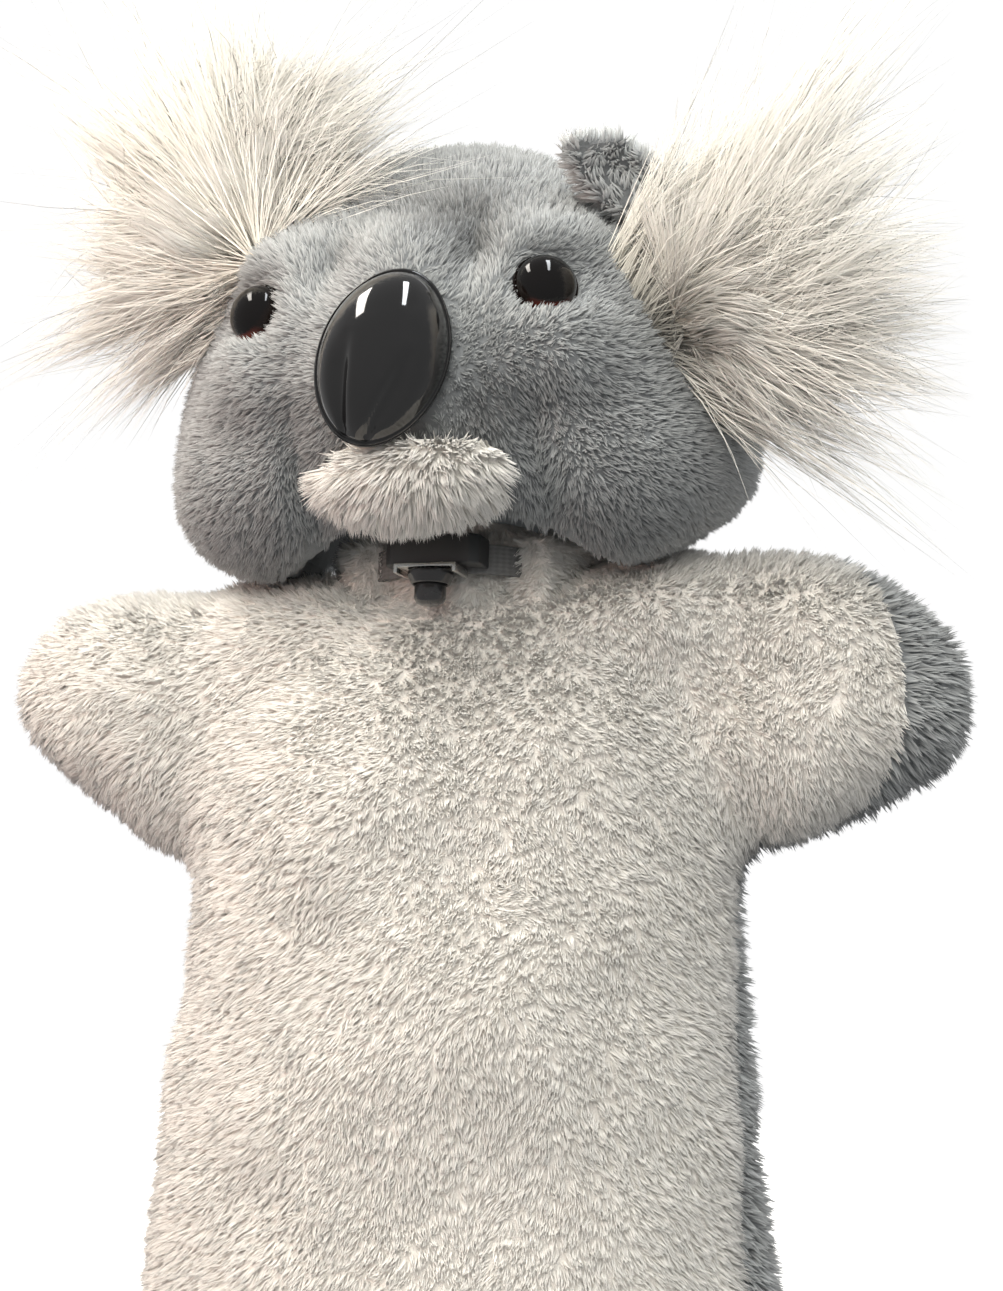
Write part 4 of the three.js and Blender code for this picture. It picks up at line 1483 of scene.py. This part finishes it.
low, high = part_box("button_bezel")
knob_low, knob_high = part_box("push_button")
button_place = Matrix.Translation(((low.x + high.x) / 2, (low.y + high.y) / 2, 0))
outer = (high.x - low.x) / 2 / MM
inner = (knob_high.x - knob_low.x) / 2 / MM
foot, top = low.z / MM, high.z / MM
bezel = lathe(
    "button_bezel_ring",
    [
        (inner + 0.3, top),
        (outer - 0.4, top),
        (outer - 0.1, top - 0.1),
        (outer, top - 0.4),
        (outer, top - 1.2),
        (outer - 0.3, top - 1.7),
        (outer - 0.8, foot + 0.3),
        (outer - 1.1, foot),
        (inner + 0.5, foot),
        (inner + 0.3, foot + 0.2),
        (inner + 0.3, top),
    ],
    button_place,
    BUTTON_BLACK,
)
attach(bezel, "neck")
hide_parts("button_bezel")
foot, top = knob_low.z / MM, knob_high.z / MM
knob = lathe(
    "push_button_knob",
    [
        (0, top),
        (inner - 0.2, top),
        (inner, top - 0.2),
        (inner, foot + 1.8),
        (inner - 0.15, foot + 1.2),
        (inner - 0.6, foot + 0.55),
        (inner - 1.5, foot + 0.15),
        (inner - 2.2, foot + 0.02),
        (0, foot),
    ],
    button_place,
    BUTTON_BLACK,
)
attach(knob, "button")
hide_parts("push_button")

# CAD pieces that stay as they are, in their own finishes
for node, material in (
    ("finger_tube", CARD),
    ("nose_washer", WASHER),
    ("eye_washer_left", WASHER),
    ("eye_washer_right", WASHER),
):
    for place in frame["nodes"][node].material_slots:
        place.material = material


# Camera, floor and light
AZIMUTH = math.radians(13.8)
ELEVATION = math.radians(-9.1)
ROLL = math.radians(1.6)
DISTANCE = 0.6
ASIDE = 0.00776
AIM_HEIGHT = 0.16915
FOCAL_PIXELS = 4.1743 * 600
FRAME_HEIGHT = 1291

right = Vector((math.cos(AZIMUTH), math.sin(AZIMUTH), 0))
level = Vector((-math.sin(AZIMUTH), math.cos(AZIMUTH), 0))
forward = level * math.cos(ELEVATION) - Vector((0, 0, math.sin(ELEVATION)))
up = right.cross(forward)
rolled_right = right * math.cos(ROLL) + up * math.sin(ROLL)
rolled_up = up * math.cos(ROLL) - right * math.sin(ROLL)
lens = bpy.data.cameras.new("photo_camera")
lens.sensor_fit = "VERTICAL"
lens.sensor_height = 24
lens.lens = FOCAL_PIXELS / FRAME_HEIGHT * lens.sensor_height
lens.clip_start = 0.01
camera = bpy.data.objects.new("photo_camera", lens)
camera.matrix_world = Matrix.Translation(
    right * ASIDE + Vector((0, 0, AIM_HEIGHT)) - forward * DISTANCE
) @ Matrix((rolled_right, rolled_up, -forward)).transposed().to_4x4()
scene.collection.objects.link(camera)
scene.camera = camera


def backing(name, bm, grey, rough, glow, lit, shadow=True):
    """A stage piece that gives off an even white."""
    finish = Surface(name).finish(
        Base_Color=rgb(grey, grey, grey), Roughness=rough, Emission_Color=rgb(1, 1, 1), Emission_Strength=glow
    )
    piece = add_piece(name, bm, finish)
    piece.visible_diffuse = lit
    piece.visible_glossy = lit
    piece.visible_shadow = shadow


UPRIGHT = Matrix.Translation((0, 3, 0)) @ Matrix.Rotation(math.pi / 2, 4, "X")
bm = bmesh.new()
bmesh.ops.create_grid(bm, x_segments=1, y_segments=1, size=4)
backing("floor", bm, 0.9, 0.8, 0.35, False)
bm = bmesh.new()
bmesh.ops.create_grid(bm, x_segments=1, y_segments=1, size=5, matrix=UPRIGHT)
backing("backdrop", bm, 0.0, 0.5, 1.0, True)
bm = bmesh.new()
bmesh.ops.create_cone(bm, segments=64, radius1=3.6, radius2=3.6, depth=12, cap_ends=True)
backing("surround", bm, 0.0, 0.5, 0.88, False, False)

world = scene.world or bpy.data.worlds.new("World")
scene.world = world
world.use_nodes = True
sky = next(node for node in world.node_tree.nodes if node.type == "BACKGROUND")
sky.inputs["Color"].default_value = rgb(1.0, 1.0, 1.0)
sky.inputs["Strength"].default_value = 0.40
scene.view_settings.view_transform = "Standard"


def area_light(name, place, target, turn, size, watts, colour, mirrored):
    """A soft light, or a strip that shows only as a streak in gloss."""
    lamp = bpy.data.lights.new(name, "AREA")
    lamp.shape = "RECTANGLE"
    lamp.size, lamp.size_y = size
    lamp.energy = watts
    lamp.color = colour
    obj = bpy.data.objects.new(name, lamp)
    way = Vector(target) - Vector(place)
    facing = way.to_track_quat("-Z", "Y").to_matrix().to_4x4()
    spun = Matrix.Rotation(math.radians(turn), 4, "Z")
    obj.matrix_world = Matrix.Translation(place) @ facing @ spun
    obj.visible_glossy = mirrored
    obj.visible_diffuse = not mirrored
    scene.collection.objects.link(obj)


WARM = (1.0, 0.95, 0.88)
COOL = (0.93, 0.97, 1.0)
for row in (
    ("strip_left", (-0.55, -0.30, 1.0), (-0.55, -0.30, 0.2), -8, (0.20, 0.7), 8, WARM, True),
    ("strip_right", (0.26, -0.30, 1.0), (0.26, -0.30, 0.2), 26, (0.10, 0.7), 4.5, COOL, True),
    ("soft_left", (-0.95, -0.85, 1.5), (0, 0, 0.15), 0, (1.4, 1.2), 34, (1.0, 0.94, 0.83), False),
    ("soft_right", (0.9, -0.8, 1.6), (0, 0, 0.15), 0, (1.5, 1.2), 15, (0.97, 0.98, 0.95), False),
    ("soft_front", (0.1, -1.7, 0.9), (0, 0, 0.13), 0, (1.6, 1.2), 27, (1.0, 0.97, 0.90), False),
    ("soft_back", (0.3, 1.7, 1.3), (0, 0, 0.15), 0, (1.6, 1.2), 14, (1.0, 0.98, 0.95), False),
    ("warm_bounce", (-0.6, -0.5, 0.1), (0, 0, 0.12), 0, (0.4, 0.3), 1.8, (1.0, 0.62, 0.5), False),
):
    area_light(*row)
